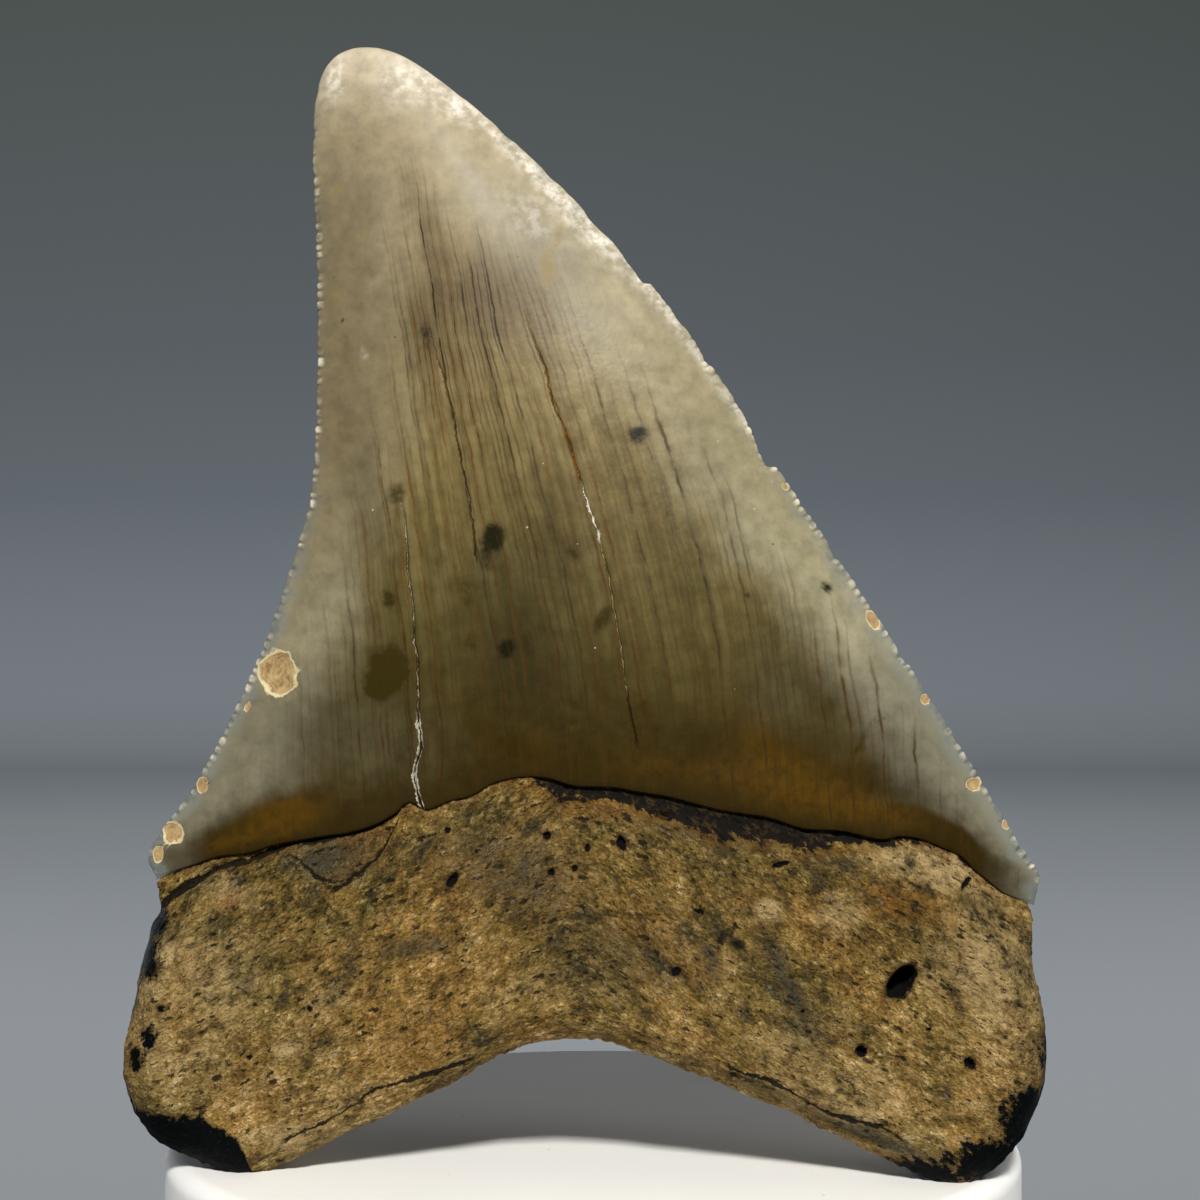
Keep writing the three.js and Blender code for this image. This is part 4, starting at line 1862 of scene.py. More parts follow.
@dataclass(frozen=True)
class FossilEnamel(ToothFinish):
    """Shark enamel, mineralised and stained in the ground and polished by wear.

    It looks glossy and slightly deep: cream at the tip, olive where stain has soaked in, with
    fine brown lines that follow its growth.
    """

    title: str = "fossil enamel"
    bottom: float = 20.0
    top: float = 80.0
    cloud_shift: float = 8.0
    body: tuple[tuple[float, str], ...] = (
        (22.0, "#2a2006"), (30.0, "#2d2206"), (34.0, "#3a3115"), (40.0, "#524928"),
        (46.0, "#675a35"), (56.0, "#7c6d48"), (66.0, "#857556"), (72.0, "#86785b"),
        (80.0, "#b0a086"),
    )
    margin: tuple[tuple[float, str], ...] = (
        (22.0, "#6c6856"), (33.0, "#6d6957"), (39.0, "#868068"), (45.0, "#827b60"),
        (56.0, "#867c60"), (67.0, "#968c72"), (73.0, "#988b6e"), (80.0, "#b4a890"),
    )

    @cached_property
    def flow(self) -> Outputs:
        """The growth across, the distance in from the edge and the rise over the root."""
        return self.stored("flow")

    @cached_property
    def veil(self) -> Outputs:
        """The shares of shade, of thickly drawn lines and of frost with a painted sheen."""
        return self.stored("veil")

    @cached_property
    def cloud(self) -> Socket:
        """Broad clouds in the colour."""
        return self.add(NOISE, self.place, None, 1 / 6.0, 3.0, 0.55)

    @cached_property
    def mottle(self) -> Socket:
        """Fine mottling."""
        return self.add(NOISE, self.place, None, 1 / 1.3, 4.0, 0.62)

    @cached_property
    def fray(self) -> Socket:
        """Finer noise that frays the rims of marks."""
        return self.add(NOISE, self.place, None, 1 / 0.7, 3.0, 0.6)

    def ramp_stops(self, stops: tuple[tuple[float, str], ...]) -> list[tuple[float, str]]:
        """Turn heights in millimetres into places on a ramp."""
        return [((z - self.bottom) / (self.top - self.bottom), colour) for z, colour in stops]

    def material(self) -> Material:
        """Build the enamel's material.

        Returns:
            The material.
        """
        core, halo, luck = self.growth_lines()
        colour = self.ground(halo)
        colour = self.stains(colour, core, luck)
        colour = self.edges(colour)
        colour, crack = self.crack_lines(colour)
        colour, chip = self.chip_faces(colour)
        return self.surface(colour, core, crack, chip)

    def ground(self, halo: Socket) -> Socket:
        """Colour the enamel itself: its body, its margins, its tan left side and streaks, with painted
        shade by the tip and frost that is partly a painted sheen.

        Args:
            halo: The soft halos of the growth lines.

        Returns:
            The enamel's own colour.
        """
        height = self.spot["Z"]
        aside = self.summed(self.add(RANGE, self.spot["X"], -23.0, -5.0, 3.0, 0.0),
                            (self.add(RANGE, self.spot["X"], 8.0, 21.0, 0.0, 1.1), 1.0))
        low = self.times(aside, self.add(RANGE, height, 47.0, 34.0),
                         self.add(RANGE, height, 24.0, 29.5, 0.15, 1.0))
        beyond = self.summed(self.add(RANGE, height, 26.0, 54.0, 1.7, -2.2),
                             (self.flow[1], 1.0), (self.cloud, 5.0), (low, -1.0))
        body = self.add(RANGE, beyond, 4.6, 9.6, interpolation_type=SOFT)
        level = self.summed(height, (self.cloud, self.cloud_shift))
        along = self.add(RANGE, level, self.bottom + self.cloud_shift / 2,
                         self.top + self.cloud_shift / 2)
        inner, outer = (
            self.add("ShaderNodeValToRGB", along, stops=self.ramp_stops(stops))
            for stops in (self.body, self.margin)
        )
        tan = self.times(
            self.add(RANGE, self.spot["X"], -10.5, -17.5, interpolation_type=SOFT),
            self.add(RANGE, height, 34.0, 52.0, 0.22, 0.85),
            self.add(RANGE, height, 68.0, 79.0, 1.0, 0.15),
        )
        colour = self.lay(outer, (tan, "#665a41"), (body, inner))
        drawn = self.add("ShaderNodeCombineXYZ", self.flow[0], 0.0, height)
        thin = self.add(VECTOR, drawn, (0.85, 1.0, 0.075), operation="MULTIPLY")
        streak = self.add(NOISE, thin, None, 1.0, 4.0, 0.6)
        deep = self.add(RANGE, height, 72.0, 56.0, 0.25, 1.0)
        dusk = self.times(self.add(RANGE, streak, 0.47, 0.72), deep, body, 0.6)
        glow = self.times(self.add(RANGE, streak, 0.5, 0.3), deep, body,
                          self.add(RANGE, height, 32.0, 46.0, 0.02, 0.14))
        shade, hatch, frost_and_sheen = self.veil
        # Darker stain zones; the shade mark by the tip is painted shade.
        darker = self.add(RANGE, shade, 0.0, 1.0, 0.0, 0.75)
        hazy = self.add(RANGE, shade, 0.0, -1.0, 0.0, 0.9)
        # Frost that is partly a painted sheen along the upper right edge.
        frost_and_sheen_share = self.times(frost_and_sheen, self.add(RANGE, self.fray, 0.4, 0.62, 0.1, 0.9))
        colour = self.lay(colour, (dusk, "#332a12"), (glow, "#8f8560"), (darker, "#242110"),
                          (hazy, "#443f2a"), (self.times(hatch, 0.6), "#4f422b"),
                          (self.times(halo, 0.34), "#3d2e13"), (frost_and_sheen_share, "#d9d3c8"))
        dapple = self.add(RANGE, self.mottle, 0.25, 0.75, 0.74, 1.26)
        return self.add(VECTOR, colour, Scale=dapple, operation="SCALE")

    def growth_lines(self) -> tuple[Socket, Socket, Socket]:
        """Draw the fine lines along the growth: a strong set, and a finer and fainter one.

        Returns:
            The lines' strength, their soft halos, and a random value for each line.
        """
        height = self.spot["Z"]
        hatch = self.veil[1]
        waver = self.add(NOISE, self.place, None, 1 / 5.0, 2.0)
        shiver = self.add(NOISE, self.place, None, 1 / 0.9, 2.0)
        swerve = self.summed(self.flow[0], (waver, 0.9), (shiver, 0.26))
        limit = self.add(RANGE, height, 28.0, 70.0, -2.4, -5.6)
        aside = self.add(MATH, self.spot["X"], 12.5, operation="ADD")
        bowed = self.summed(height, (self.add(MATH, aside, operation="ABSOLUTE"), 0.6))
        calm = self.add(RANGE, self.spot["X"], -23.0, -13.0, 0.15, 1.0)
        cores = []
        halos = []
        lucks = []
        for spacing, near, far, power in ((1.15, 0.035, 0.12, 1.0), (0.5, 0.06, 0.24, 0.55)):
            step = self.add(MATH, swerve, spacing, operation="DIVIDE")
            cell = self.add(CELLS, W=step, Scale=1.0, Randomness=0.85, voronoi_dimensions="1D")
            chance = self.add(TONES, cell.node.outputs["Color"]).node.outputs
            core = self.add(RANGE, cell, near, far, 1.0, 0.0, interpolation_type=SOFT)
            halo = self.add(RANGE, cell, 0.0, 0.36, 1.0, 0.0, interpolation_type=SOFT)
            inside = self.summed(limit, (self.flow[1], 1.0), (chance[0], 3.6))
            begun = self.add(RANGE, inside, 1.0, 4.0, interpolation_type=SOFT)
            lowered = self.summed(bowed, (chance[1], 15.0))
            faded = self.add(RANGE, lowered, 73.0, 66.0, interpolation_type=SOFT)
            drawn = self.add("ShaderNodeCombineXYZ", step, 0.0, height)
            thin = self.add(VECTOR, drawn, (1.0, 1.0, 0.5), operation="MULTIPLY")
            patchy = self.add(NOISE, thin, None, 1.0, 4.0, 0.6)
            firm = self.add(RANGE, patchy, 0.36, 0.56, 0.12, power)
            weight = self.add(RANGE, chance[2], 0.0, 1.0, 0.3, 1.0)
            share = self.summed(self.times(begun, faded, firm, weight, calm),
                                (self.times(hatch, firm), 0.6))
            cores.append(self.times(core, share))
            halos.append(self.times(halo, share))
            lucks.append(chance[1])
        core, halo = (
            self.add(MATH, *pair, operation="MAXIMUM") for pair in (cores, halos)
        )
        return core, halo, lucks[0]

    def stains(self, colour: Socket, core: Socket, luck: Socket) -> Socket:
        """Lay the lines, the stains beside the root, the spots and the specks over the colour.

        Args:
            colour: The enamel's colour so far.
            core: The growth lines' strength.
            luck: A random value for each line.

        Returns:
            The stained colour.
        """
        frayed = self.add(RANGE, self.fray, 0.3, 0.7, 0.6, 1.35)
        olive, dark, warm = (
            self.add(RANGE, self.times(mark, frayed), low, high, 0.0, most,
                     interpolation_type=SOFT)
            for mark, low, high, most in zip(
                self.stored("stain"), (0.2, 0.16, 0.1), (0.8, 0.7, 1.1), (0.92, 0.96, 0.6))
        )
        soak = self.summed(self.flow[2], (self.mottle, 4.0))
        low_dark = self.add(RANGE, soak, 6.4, 2.2, 0.0, 0.5, interpolation_type=SOFT)
        golden = self.add(RANGE, self.summed(luck, (self.cloud, 1.2)), 0.7, 1.4)
        upper = self.add(RANGE, self.spot["Z"], 33.0, 46.0, 0.1, 0.9)
        line_colour = self.lay("#2a1d0a", (self.times(golden, upper), "#5e3f10"))
        grain = self.add(CELLS, self.place, None, 1 / 1.2).node.outputs
        chance = self.add(TONES, grain["Color"]).node.outputs
        size = self.add(RANGE, chance[2], 0.0, 1.0, 0.02, 0.07)
        within = self.add(MATH, size, grain["Distance"], operation="SUBTRACT")
        tiny = self.add(RANGE, within, -0.008, 0.012)
        speck = self.times(tiny, self.add(RANGE, chance[0], 0.80, 0.82, 0.0, 0.6))
        fleck = self.times(tiny, self.add(RANGE, chance[1], 0.8, 0.82, 0.0, 0.8))
        dull = self.add(STORED, attribute_name="dull", out="Fac")
        high = self.add(RANGE, self.spot["Z"], 47.0, 56.0)
        olive_colour = self.lay("#2c2408", (high, "#7a6a40"))
        return self.lay(
            colour, (low_dark, "#241b06"), (warm, "#543a0c"), (core, line_colour),
            (olive, olive_colour), (dark, "#171405"), (fleck, "#4a2f10"), (speck, "#b9b4a4"),
            (dull, "#3b3527"),
        )

    def edges(self, colour: Socket) -> Socket:
        """Grey the thin low edges, paint highlights on the beads and darken the gaps of the serrations.

        Args:
            colour: The enamel's colour so far.

        Returns:
            The colour with its edges.
        """
        bead = self.add(STORED, attribute_name="bead", out="Fac")
        notch = self.add(STORED, attribute_name="notch", out="Fac")
        uneven = self.summed(self.flow[1], (self.mottle, 2.6))
        thin = self.add(RANGE, uneven, 2.7, 1.3, interpolation_type=SOFT)
        low = self.add(RANGE, self.spot["Z"], 52.0, 38.0, 0.1, 0.7)
        rim = self.add(RANGE, uneven, 1.75, 1.35, 0.0, 0.55)
        slate = self.times(rim, low)
        # Painted highlight on the tops of the serration beads.
        painted_bead_highlight = self.times(self.add(RANGE, bead, 0.25, 0.85, 0.0, 0.8),
                            self.add(RANGE, self.fray, 0.36, 0.58, 0.1, 1.0),
                            self.add(RANGE, self.mottle, 0.4, 0.55, 0.25, 1.0))
        gap = self.add(RANGE, notch, 0.15, 0.85, 0.0, 0.65)
        return self.lay(colour, (self.times(thin, low), "#757973"), (slate, "#454e53"),
                        (painted_bead_highlight, "#d2c9b3"), (gap, "#3f3424"))

    def crack_lines(self, colour: Socket) -> tuple[Socket, Socket]:
        """Draw the three cracks: dark gaps, filled in places with white or orange matrix.

        Args:
            colour: The enamel's colour so far.

        Returns:
            The colour with the cracks, and the cracks' strength.
        """
        gaps = self.stored("crack")
        height = self.spot["Z"]
        crumb = self.add(NOISE, self.place, None, 1 / 0.5, 3.0, 0.7)
        kept = self.add(RANGE, self.mottle, 0.4, 0.5, 0.25, 1.0)
        total = 0.0
        for gap, low, high, half, fills in (
            (gaps[0], 25.6, 48.4, 0.05, ((25.5, 32.6, 0.25, 0.12, "#aea996", 0.9),
                                         (32.6, 46.0, 0.07, 0.0, "#a3967a", 0.6))),
            (gaps[1], 43.0, 60.4, 0.035, ((44.0, 58.0, 0.09, 0.0, "#5a390c", 0.8),)),
            (gaps[2], 30.4, 61.0, 0.035, ((48.4, 53.0, 0.14, 0.0, "#8a5310", 0.85),
                                          (44.4, 48.6, 0.13, 0.0, "#cfcabb", 1.0),
                                          (53.0, 58.0, 0.1, 0.0, "#6b4210", 0.7),
                                          (34.0, 44.4, 0.07, 0.0, "#a08a5a", 0.6))),
        ):
            moved = self.summed(-0.34, (gap, 1.0), (self.fray, 0.44), (crumb, 0.24))
            away = self.add(MATH, moved, operation="ABSOLUTE")
            width = self.add(RANGE, crumb, 0.3, 0.7, 0.3 * half, 1.9 * half)
            within = self.add(MATH, width, away, operation="SUBTRACT")
            dark = self.times(self.add(RANGE, within, -0.04, 0.02, 0.0, 0.95),
                              self.add(RANGE, height, low - 0.4, low + 0.3),
                              self.add(RANGE, height, high, high - 6.0))
            colour = self.lay(colour, (dark, "#1d1407"))
            for start, end, reach, hollow, paint, most in fills:
                strand = self.add(MATH, away, hollow, operation="SUBTRACT")
                strand = self.add(MATH, strand, operation="ABSOLUTE")
                thick = self.add(RANGE, crumb, 0.36, 0.66, 0.0, reach - hollow)
                inside = self.add(MATH, thick, strand, operation="SUBTRACT")
                filled = self.times(self.add(RANGE, inside, -0.02, 0.035, 0.0, most), kept,
                                    self.add(RANGE, height, start - 0.2, start + 0.5),
                                    self.add(RANGE, height, end + 0.2, end - 0.5))
                colour = self.lay(colour, (filled, paint))
            total = self.add(MATH, total, dark, operation="MAXIMUM")
        return colour, total

    def chip_faces(self, colour: Socket) -> tuple[Socket, Socket]:
        """Bare the chips: beige dentine within a cream rim.

        Args:
            colour: The enamel's colour so far.

        Returns:
            The colour with the chips, and the chips' share.
        """
        reach = self.add(STORED, attribute_name="chip", out="Fac")
        torn = self.add(NOISE, self.place, None, 1 / 1.1, 3.0, 0.5)
        ragged = self.summed(-0.5, (reach, 1.0), (torn, 1.0))
        inside = self.add(RANGE, ragged, 1.04, 0.96)
        core = self.add(RANGE, ragged, 0.93, 0.8)
        layers = self.add(MATH, self.times(ragged, 5.0), 0.5, operation="PINGPONG")
        beige = self.lay("#7d6240", (self.add(RANGE, self.fray, 0.35, 0.65), "#a68c62"))
        beige = self.lay(beige, (self.add(RANGE, layers, 0.1, 0.5, 0.0, 0.3), "#c4b083"))
        rim = self.lay("#b9a984", (self.add(RANGE, torn, 0.4, 0.6), "#cabd95"))
        return self.lay(colour, (inside, rim), (core, beige)), inside

    def surface(self, colour: Socket, core: Socket, crack: Socket, chip: Socket) -> Material:
        """Finish the enamel with its gloss and fine relief, in millimetres of height.

        Args:
            colour: The finished colour.
            core: The growth lines' strength.
            crack: The cracks' strength.
            chip: The chips' share.

        Returns:
            The material.
        """
        dull = self.add(STORED, attribute_name="dull", out="Fac")
        matt = self.add(RANGE, self.spot["Z"], 54.0, 68.0, 0.0, 0.3)
        rough = self.summed(matt, (self.add(RANGE, self.mottle, 0.3, 0.7, 0.24, 0.32), 1.0))
        for share, value in ((core, 0.45), (crack, 0.8), (chip, 0.6), (dull, 0.7)):
            rough = self.add(BLEND, share, A_Float=rough, B_Float=value)
        peel = self.add(NOISE, self.place, None, 1 / 0.5, 3.0, 0.5)
        broad = self.add(NOISE, self.place, None, 1 / 3.0, 2.0, 0.5)
        relief = self.summed(0.0, (peel, 0.02), (broad, 0.05), (core, -0.012), (crack, -0.06),
                             (chip, -0.02))
        bump = self.add("ShaderNodeBump", Strength=1.0, Distance=MM, Height=relief)
        golden = self.add(RANGE, self.spot["Z"], 44.0, 31.0, 0.0, 0.85)
        return self.close(Base_Color=colour, Roughness=rough, Normal=bump, IOR=1.55,
                          Specular_Tint=self.lay("#ffffff", (golden, "#e0a860")),
                          Specular_IOR_Level=0.12, Coat_Weight=0.02, Coat_Roughness=0.2)


@dataclass(frozen=True)
class FossilDentine(ToothFinish):
    """The root's bone-like dentine: sandy and porous, and stained ochre, rust and grey.

    It looks matt and gritty, with dark pits, and smooth and nearly black where the lobes are
    worn.
    """

    title: str = "fossil dentine"
    grain: float = 0.24
    tones: tuple[tuple[float, str], ...] = (
        (0.0, "#0b0804"), (0.2, "#221a08"), (0.4, "#433716"), (0.6, "#6a572b"),
        (0.8, "#907b49"), (1.0, "#c6b386"),
    )

    @cached_property
    def bedding(self) -> tuple[Socket, Socket]:
        """The height over the arch's slopes, and the place bent along them."""
        return arch_grain(self.made.node_tree, self.place, (0.82, 1.0, 1.0))

    @cached_property
    def kept(self) -> dict[str, Socket]:
        """The values on the root's vertices, by name."""
        return {
            name: self.add(STORED, attribute_name=name, out="Fac")
            for name in ("relief", "hole", "black", "drop", "seam", "front")
        }

    @cached_property
    def noise(self) -> dict[str, Socket]:
        """The root's noises, by name, from the broadest to the finest."""
        return {
            name: self.add(NOISE, self.bedding[1], None, 1 / size, detail, roughness)
            for name, size, detail, roughness in (
                ("zone", 6.0, 3.0, 0.55), ("blotch", 1.9, 4.0, 0.6), ("fray", 0.62, 4.0, 0.7),
                ("dust", 0.17, 2.0, 0.6),
            )
        }

    def material(self, lines: dict[str, RootLine]) -> Material:
        """Build the dentine's material.

        Args:
            lines: The root's cracks and layers, to be drawn dark.

        Returns:
            The material.
        """
        colour, grains = self.sand()
        colour = self.zones(colour)
        colour, pit = self.pits(colour)
        colour = self.seam(colour)
        colour = self.draw_lines(colour, lines)
        colour, black = self.black_wear(colour)
        return self.surface(colour, grains, pit, black)

    def sand(self) -> tuple[Socket, Socket]:
        """Colour the sandy ground, grain by grain.

        Returns:
            The colour, and the distance from the middle of each grain.
        """
        noise = self.noise
        bent = self.add(VECTOR, noise["fray"].node.outputs["Color"],
                        (0.5, 0.5, 0.5), self.bedding[1], operation="MULTIPLY_ADD")
        cells = self.add(CELLS, bent, None, 1 / self.grain).node.outputs
        luck = self.add(TONES, cells["Color"]).node.outputs
        paler = self.add(RANGE, self.spot["Z"], 19.0, 3.0, 0.0, 0.2)
        tone = self.summed(-0.99, (luck[0], 0.12), (noise["fray"], 1.12), (noise["blotch"], 0.85),
                           (noise["zone"], 0.4), (noise["dust"], 0.56), (paler, 1.0),
                           (self.kept["relief"], 0.8))
        colour = self.add("ShaderNodeValToRGB", tone, stops=self.tones)
        golden = self.times(self.add(RANGE, self.summed(noise["zone"], (luck[1], 0.12)), 0.46, 0.7),
                            0.45)
        warm = self.times(self.add(RANGE, noise["blotch"], 0.52, 0.68), 0.28)
        cream = self.times(self.add(RANGE, luck[2], 0.92, 0.96), 0.25)
        steel = self.times(self.add(RANGE, noise["blotch"], 0.46, 0.34), 0.45)
        tinted = self.add(BLEND, 0.75, A_Color=colour, B_Color=linear("#c08a2c"),
                          data_type="RGBA", blend_type="MULTIPLY", out=2)
        lit = self.add(VECTOR, tinted, Scale=1.9, operation="SCALE")
        return self.lay(colour, (steel, "#2f3029"), (golden, lit), (warm, "#6b4a18"),
                        (cream, "#a39370")), cells["Distance"]

    def zones(self, colour: Socket) -> Socket:
        """Lay the rust, grey-blue and pale zones over the sand.

        Args:
            colour: The colour so far.

        Returns:
            The colour with its zones.
        """
        patchy = self.add(RANGE, self.summed(0.0, (self.noise["blotch"], 0.5),
                                             (self.noise["fray"], 0.5)), 0.4, 0.6, 0.15, 1.7)
        rust, grey, pale = (
            self.add(RANGE, self.times(tint, patchy), 0.1, 1.4, 0.0, most)
            for tint, most in zip(self.stored("tint"), (0.62, 0.85, 0.8))
        )
        return self.lay(colour, (rust, "#613c10"), (grey, "#282a26"), (pale, "#a18a5f"))

    def pits(self, colour: Socket) -> tuple[Socket, Socket]:
        """Darken the hollows and the holes, and cut dark pits along the bedding.

        Args:
            colour: The colour so far.

        Returns:
            The colour, and the pits' share.
        """
        drawn = self.add(VECTOR, self.bedding[1], (0.95, 1.1, 1.6),
                         operation="MULTIPLY")
        bent = self.add(VECTOR, self.noise["fray"].node.outputs["Color"],
                        (1.4, 1.4, 1.4), drawn, operation="MULTIPLY_ADD")
        pit = 0.0
        for spacing, share, most in ((0.8, 0.4, 0.88), (0.36, 0.42, 0.72)):
            cells = self.add(CELLS, bent, None, 1 / spacing).node.outputs
            luck = self.add(TONES, cells["Color"]).node.outputs
            size = self.add(RANGE, luck[0], 0.4, 1.0, 0.0, share)
            within = self.add(MATH, size, cells["Distance"], operation="SUBTRACT")
            opened = self.add(RANGE, within, 0.0, 0.12, 0.0, most)
            pit = self.add(MATH, pit, opened, operation="MAXIMUM")
        seam = self.add(CELLS, bent, None, 1 / 1.1, feature="DISTANCE_TO_EDGE")
        hair = self.times(self.add(RANGE, seam, 0.02, 0.07, 0.6, 0.0),
                          self.add(RANGE, self.noise["fray"], 0.44, 0.54))
        hollow = self.add(RANGE, self.kept["relief"], -0.1, -0.36, 0.0, 0.8)
        torn = self.summed(-0.7, (self.kept["hole"], 1.0), (self.noise["fray"], 1.4))
        ring = self.add(RANGE, torn, 1.5, 1.1, 0.0, 0.5)
        hole = self.add(RANGE, torn, 1.08, 0.94)
        return self.lay(colour, (hollow, "#1a140a"), (pit, "#120e07"),
                        (hair, "#1c1409"), (ring, "#4a3216"), (hole, "#070605")), pit

    def seam(self, colour: Socket) -> Socket:
        """Stain the root below the enamel: a crumbly blue-black band and a black line.

        Args:
            colour: The colour so far.

        Returns:
            The colour with the band.
        """
        noise = self.noise
        band_edge = self.summed(-2.2, (self.kept["seam"], 1.0), (noise["fray"], 2.6),
                                (noise["blotch"], 1.8))
        band = self.times(self.add(RANGE, band_edge, 0.14, -0.06, 0.0, 0.96),
                          self.kept["front"])
        crumb = self.add(RANGE, noise["fray"], 0.52, 0.64, 0.0, 0.75)
        soot = self.lay("#070808", (crumb, "#3a2d19"),
                        (self.add(RANGE, noise["blotch"], 0.6, 0.7, 0.0, 0.4), "#11161a"))
        under = self.add(RANGE, band_edge, 0.9, 0.1, 0.0, 0.55)
        near = self.summed(-0.5, (self.kept["drop"], 1.0), (noise["fray"], 1.0))
        line = self.add(RANGE, near, 0.3, 0.15, 0.0, 0.96)
        return self.lay(colour, (self.times(under, self.kept["front"]), "#5c3f16"),
                        (band, soot), (line, "#0d0a06"))

    def draw_lines(self, colour: Socket, lines: dict[str, RootLine]) -> Socket:
        """Draw the cracks and the edges of layers dark, each along its own curve.

        Args:
            colour: The colour so far.
            lines: The root's cracks and layers.

        Returns:
            The colour with the lines.
        """
        across, height = self.spot["X"], self.spot["Z"]
        for line in lines.values():
            given = np.array(line.points)
            low = given.min(axis=0)
            span = given.max(axis=0) - low
            end = low[0] + span[0]
            along = self.add(RANGE, across, low[0], end)
            curve = self.add("ShaderNodeFloatCurve", None, along,
                             points=[tuple(place) for place in (given - low) / span])
            gap = self.summed(-low[1] - 0.45, (height, 1.0), (curve, -span[1]),
                              (self.noise["fray"], 0.9))
            away = self.add(MATH, gap, operation="ABSOLUTE")
            width = self.add(RANGE, self.noise["blotch"], 0.35, 0.65, 0.4 * line.half_width,
                             2.4 * line.half_width)
            within = self.add(MATH, width, away, operation="SUBTRACT")
            dark = self.times(self.add(RANGE, within, -0.05, 0.03, 0.0, 0.95),
                              self.add(RANGE, across, low[0] - 0.2, low[0] + 0.4),
                              self.add(RANGE, across, end + 0.2, end - 0.4),
                              self.kept["front"])
            colour = self.lay(colour, (dark, "#0e0a06"))
        return colour

    def black_wear(self, colour: Socket) -> tuple[Socket, Socket]:
        """Blacken the worn ends of the lobes, with a ragged edge and pale dust in it.

        Args:
            colour: The colour so far.

        Returns:
            The colour, and the black wear's share.
        """
        ragged = self.summed(-1.8, (self.kept["black"], 1.0), (self.noise["blotch"], 1.4),
                             (self.noise["fray"], 2.2))
        black = self.add(RANGE, ragged, -0.15, 0.2)
        soot = self.lay("#020303", (self.noise["blotch"], "#0a0c0e"))
        dust = self.add(RANGE, self.noise["dust"], 0.62, 0.72, 0.0, 0.5)
        return self.lay(colour, (black, self.lay(soot, (dust, "#34382f")))), black

    def surface(self, colour: Socket, grains: Socket, pit: Socket, black: Socket) -> Material:
        """Finish the dentine with its grit, in millimetres of height.

        Args:
            colour: The finished colour.
            grains: The distance from each grain's middle.
            pit: The pits' share.
            black: The black wear's share.

        Returns:
            The material.
        """
        relief = self.summed(0.0, (grains, -0.07), (self.noise["fray"], 0.3),
                             (self.noise["dust"], 0.07), (pit, -0.12))
        relief = self.times(relief, self.add(RANGE, black, 0.0, 1.0, 1.0, 0.25))
        bump = self.add("ShaderNodeBump", Strength=1.0, Distance=MM, Height=relief)
        rough = self.add(RANGE, black, 0.0, 1.0, 0.88, 0.6)
        return self.close(Base_Color=colour, Roughness=rough, Normal=bump,
                          Specular_IOR_Level=self.add(RANGE, black, 0.0, 1.0, 0.12, 0.03))


@dataclass(frozen=True)
class WhiteAcrylic(Finish):
    """Cast white acrylic, wet-sanded nearly matt: it looks clean, dense and evenly lit."""

    title: str = "white acrylic"
    colour: str = "#eeede9"
    speck: str = "#b5a688"
    speck_spacing: float = 3.2
    sanding: float = 0.5

    def material(self) -> Material:
        """Build the acrylic's material.

        Returns:
            The material.
        """
        spot = self.add("ShaderNodeTexCoord", out="Object")
        place = self.add("ShaderNodeMapping", spot, Scale=(1 / MM, 1 / MM, 1 / MM))
        cloud = self.add(NOISE, place, None, 1 / 9.0, 2.0)
        cell = self.add(CELLS, place, None, 1 / self.speck_spacing).node.outputs
        luck = self.add(TONES, cell["Color"])
        dust = self.times(self.add(RANGE, luck, 0.72, 0.74),
                          self.add(RANGE, cell["Distance"], 0.035, 0.06, 0.5, 0.0))
        colour = self.lay(self.colour, (self.add(RANGE, cloud, 0.3, 0.7, 0.0, 0.5), "#e8e7e3"),
                          (dust, self.speck))
        sanded = self.add(NOISE, place, None, 1 / self.sanding, 2.0)
        bump = self.add("ShaderNodeBump", Strength=1.0, Distance=MM,
                        Height=self.times(sanded, 0.006))
        return self.close(Base_Color=colour, Roughness=self.add(RANGE, sanded, 0.0, 1.0, 0.6, 0.7),
                          Normal=bump, IOR=1.49, Specular_IOR_Level=0.25)


@dataclass(frozen=True)
class StudioPaper(Finish):
    """Matt grey paper with a painted fall-off of light, darker towards its top and on the floor by the
    block, where the key light pools: it looks like an even, fading studio wall.
    """

    title: str = "studio paper"
    # The stops paint the fall-off of light: darker on the floor by the block, where the key light
    # pools, brightest further back, and darker up the wall.
    tones: tuple[tuple[float, str], ...] = (
        (0.0, "#888c90"), (0.08, "#b0b6bd"), (0.13, "#c2c9d2"), (0.2, "#d0d8e0"),
        (0.35, "#c2ccd6"), (0.5, "#959fa8"), (0.6, "#868e94"), (0.8, "#77807e"),
        (1.0, "#6e767a"),
    )

    def material(self) -> Material:
        """Build the paper's material.

        Returns:
            The material.
        """
        spot = self.add("ShaderNodeTexCoord", out="Object")
        parts = self.add(PARTS, spot).node.outputs
        along = self.add(RANGE, self.summed(parts["Y"], (parts["Z"], 3.0)), 0.0, 2.5)
        tone = self.add("ShaderNodeValToRGB", along, stops=self.tones)
        # Painted fall-off of light from side to side, a little lighter on the left.
        aside = self.add(RANGE, parts["X"], -0.3, 0.3, 1.07, 0.93)
        tone = self.add(VECTOR, tone, Scale=aside, operation="SCALE")
        return self.close(Base_Color=tone, Roughness=0.9, Specular_IOR_Level=0.1)


@dataclass(frozen=True)
class SoftLight:
    """A square studio light that points at the tooth, in metres, watts and degrees of spread."""

    name: str
    place: tuple[float, float, float]
    size: float
    power: float
    colour: str = "#ffffff"
    spread: float = 180.0


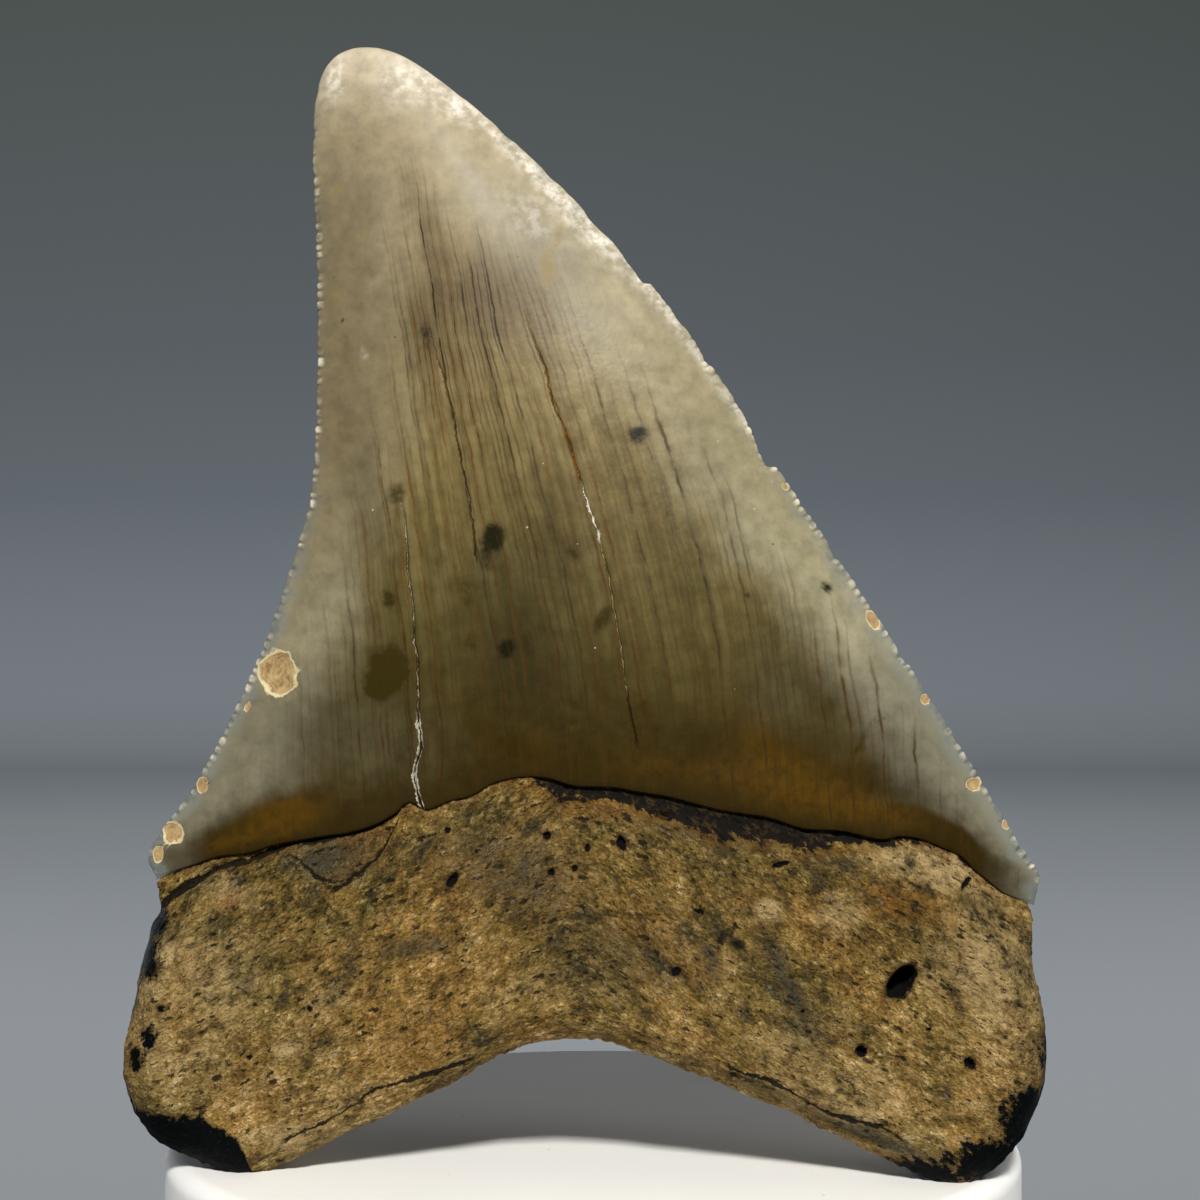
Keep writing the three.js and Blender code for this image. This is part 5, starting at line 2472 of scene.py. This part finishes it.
@dataclass
class Studio:
    """The pale floor, the curved backdrop, the lights and the camera."""

    target: tuple[float, float, float] = (0.0, -0.012, 0.062)
    eye: tuple[float, float, float] = (0.0005, -0.1753, 0.0644)
    lens: float = 69.0
    floor_half_width: float = 2.4
    floor_front: float = -2.2
    floor_rows: tuple[float, ...] = (-0.6, 0.0, 0.3)
    curve_steps: int = 16
    wall_at: float = 0.95
    curve_radius: float = 0.25
    wall_height: float = 2.2
    lights: tuple[SoftLight, ...] = (
        SoftLight("key softbox", (0.04, -0.62, 0.50), 0.08, 8.8, "#fffdf9"),
        SoftLight("top right softbox", (0.30, -0.12, 0.52), 0.30, 0.35, "#ffffff"),
        SoftLight("left fill", (-0.55, -0.45, 0.25), 0.5, 0.12, "#eef3ff"),
        SoftLight("back left softbox", (-0.50, 0.46, 0.11), 0.2, 0.09, "#f6f8ff", 50.0),
        SoftLight("back right softbox", (0.50, 0.46, 0.11), 0.2, 0.09, "#f6f8ff", 50.0),
    )
    ambient: str = "#c3c9d0"
    ambient_power: float = 0.05

    def backdrop(self) -> Object:
        """Sweep the pale floor up into the backdrop.

        Returns:
            The staged backdrop.
        """
        turn = np.linspace(0.0, math.pi / 2, self.curve_steps + 1)
        line = [(y, 0.0) for y in (self.floor_front, *self.floor_rows)]
        curve_start = self.wall_at - self.curve_radius
        line += [(curve_start + self.curve_radius * math.sin(a),
                  self.curve_radius * (1 - math.cos(a))) for a in turn]
        line.append((self.wall_at, self.wall_height))
        sides = (-self.floor_half_width, self.floor_half_width)
        places = [(x, y, z) for y, z in line for x in sides]
        faces = []
        for k in range(len(line) - 1):
            a, b, c, d = 2 * k, 2 * k + 1, 2 * k + 2, 2 * k + 3
            faces.extend([(a, b, d), (a, d, c)])
        sweep = mesh_object("studio_backdrop", np.array(places), np.array(faces))
        sweep.data.materials.append(StudioPaper().material())
        return sweep

    def light_up(self) -> None:
        """Place the softboxes and the even light around them."""
        for light in self.lights:
            data = bpy.data.lights.new(light.name, "AREA")
            data.energy = light.power
            data.size = light.size
            data.spread = math.radians(light.spread)
            data.color = linear(light.colour)[:3]
            lamp = bpy.data.objects.new(light.name, data)
            lamp.location = light.place
            aim = Vector(self.target) - Vector(light.place)
            lamp.rotation_euler = aim.to_track_quat("-Z", "Y").to_euler()
            bpy.context.scene.collection.objects.link(lamp)
        world = bpy.data.worlds.new("even light")
        world.use_nodes = True
        background = world.node_tree.nodes["Background"]
        background.inputs["Color"].default_value = linear(self.ambient)
        background.inputs["Strength"].default_value = self.ambient_power
        bpy.context.scene.world = world

    def place_camera(self) -> Object:
        """Stand the camera level in front of the tooth, close by.

        Returns:
            The scene's camera.
        """
        data = bpy.data.cameras.new("camera")
        data.lens = self.lens
        data.clip_start = 0.01
        camera = bpy.data.objects.new("camera", data)
        camera.location = self.eye
        camera.rotation_euler = (math.pi / 2, 0.0, 0.0)
        bpy.context.scene.collection.objects.link(camera)
        bpy.context.scene.camera = camera
        return camera

    def build(self) -> None:
        """Set up the whole studio, with colours shown as they are lit."""
        self.place_camera()
        self.backdrop()
        self.light_up()
        bpy.context.scene.view_settings.view_transform = "Standard"


def keep(piece: Object, node: str, slot: Slot) -> None:
    """Tie a finished piece to the frame, in place of its plain solid.

    Args:
        piece: The finished piece.
        node: The plain solid that it stands for.
        slot: The record's slot for its finish; it is not used.
    """
    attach(piece, ROOT_BODY)
    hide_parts(node)
    piece.data.calc_loop_triangles()
    LOG.info("%s: %d triangles", piece.name, len(piece.data.loop_triangles))


def main() -> None:
    """Build the studio, the block, the root and the crown, in that order."""
    logging.basicConfig(level=logging.INFO, format="%(name)s: %(message)s")
    Studio().build()
    _, block_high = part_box(BLOCK_NODE)
    block = DisplayBlock(radius=block_high.x / MM, height=block_high.z / MM)
    keep(block.build(WhiteAcrylic().material()), BLOCK_NODE, Slot.BLOCK)
    form = ToothForm(block_top=block.height)
    root = DentineRoot(form)
    keep(root.build(FossilDentine(form).material(root.lines)), TOOTH_NODE, Slot.FOSSIL)
    crown = EnamelCrown(form)
    keep(crown.build(FossilEnamel(form).material()), TOOTH_NODE, Slot.FOSSIL)


if __name__ == "__main__":
    main()
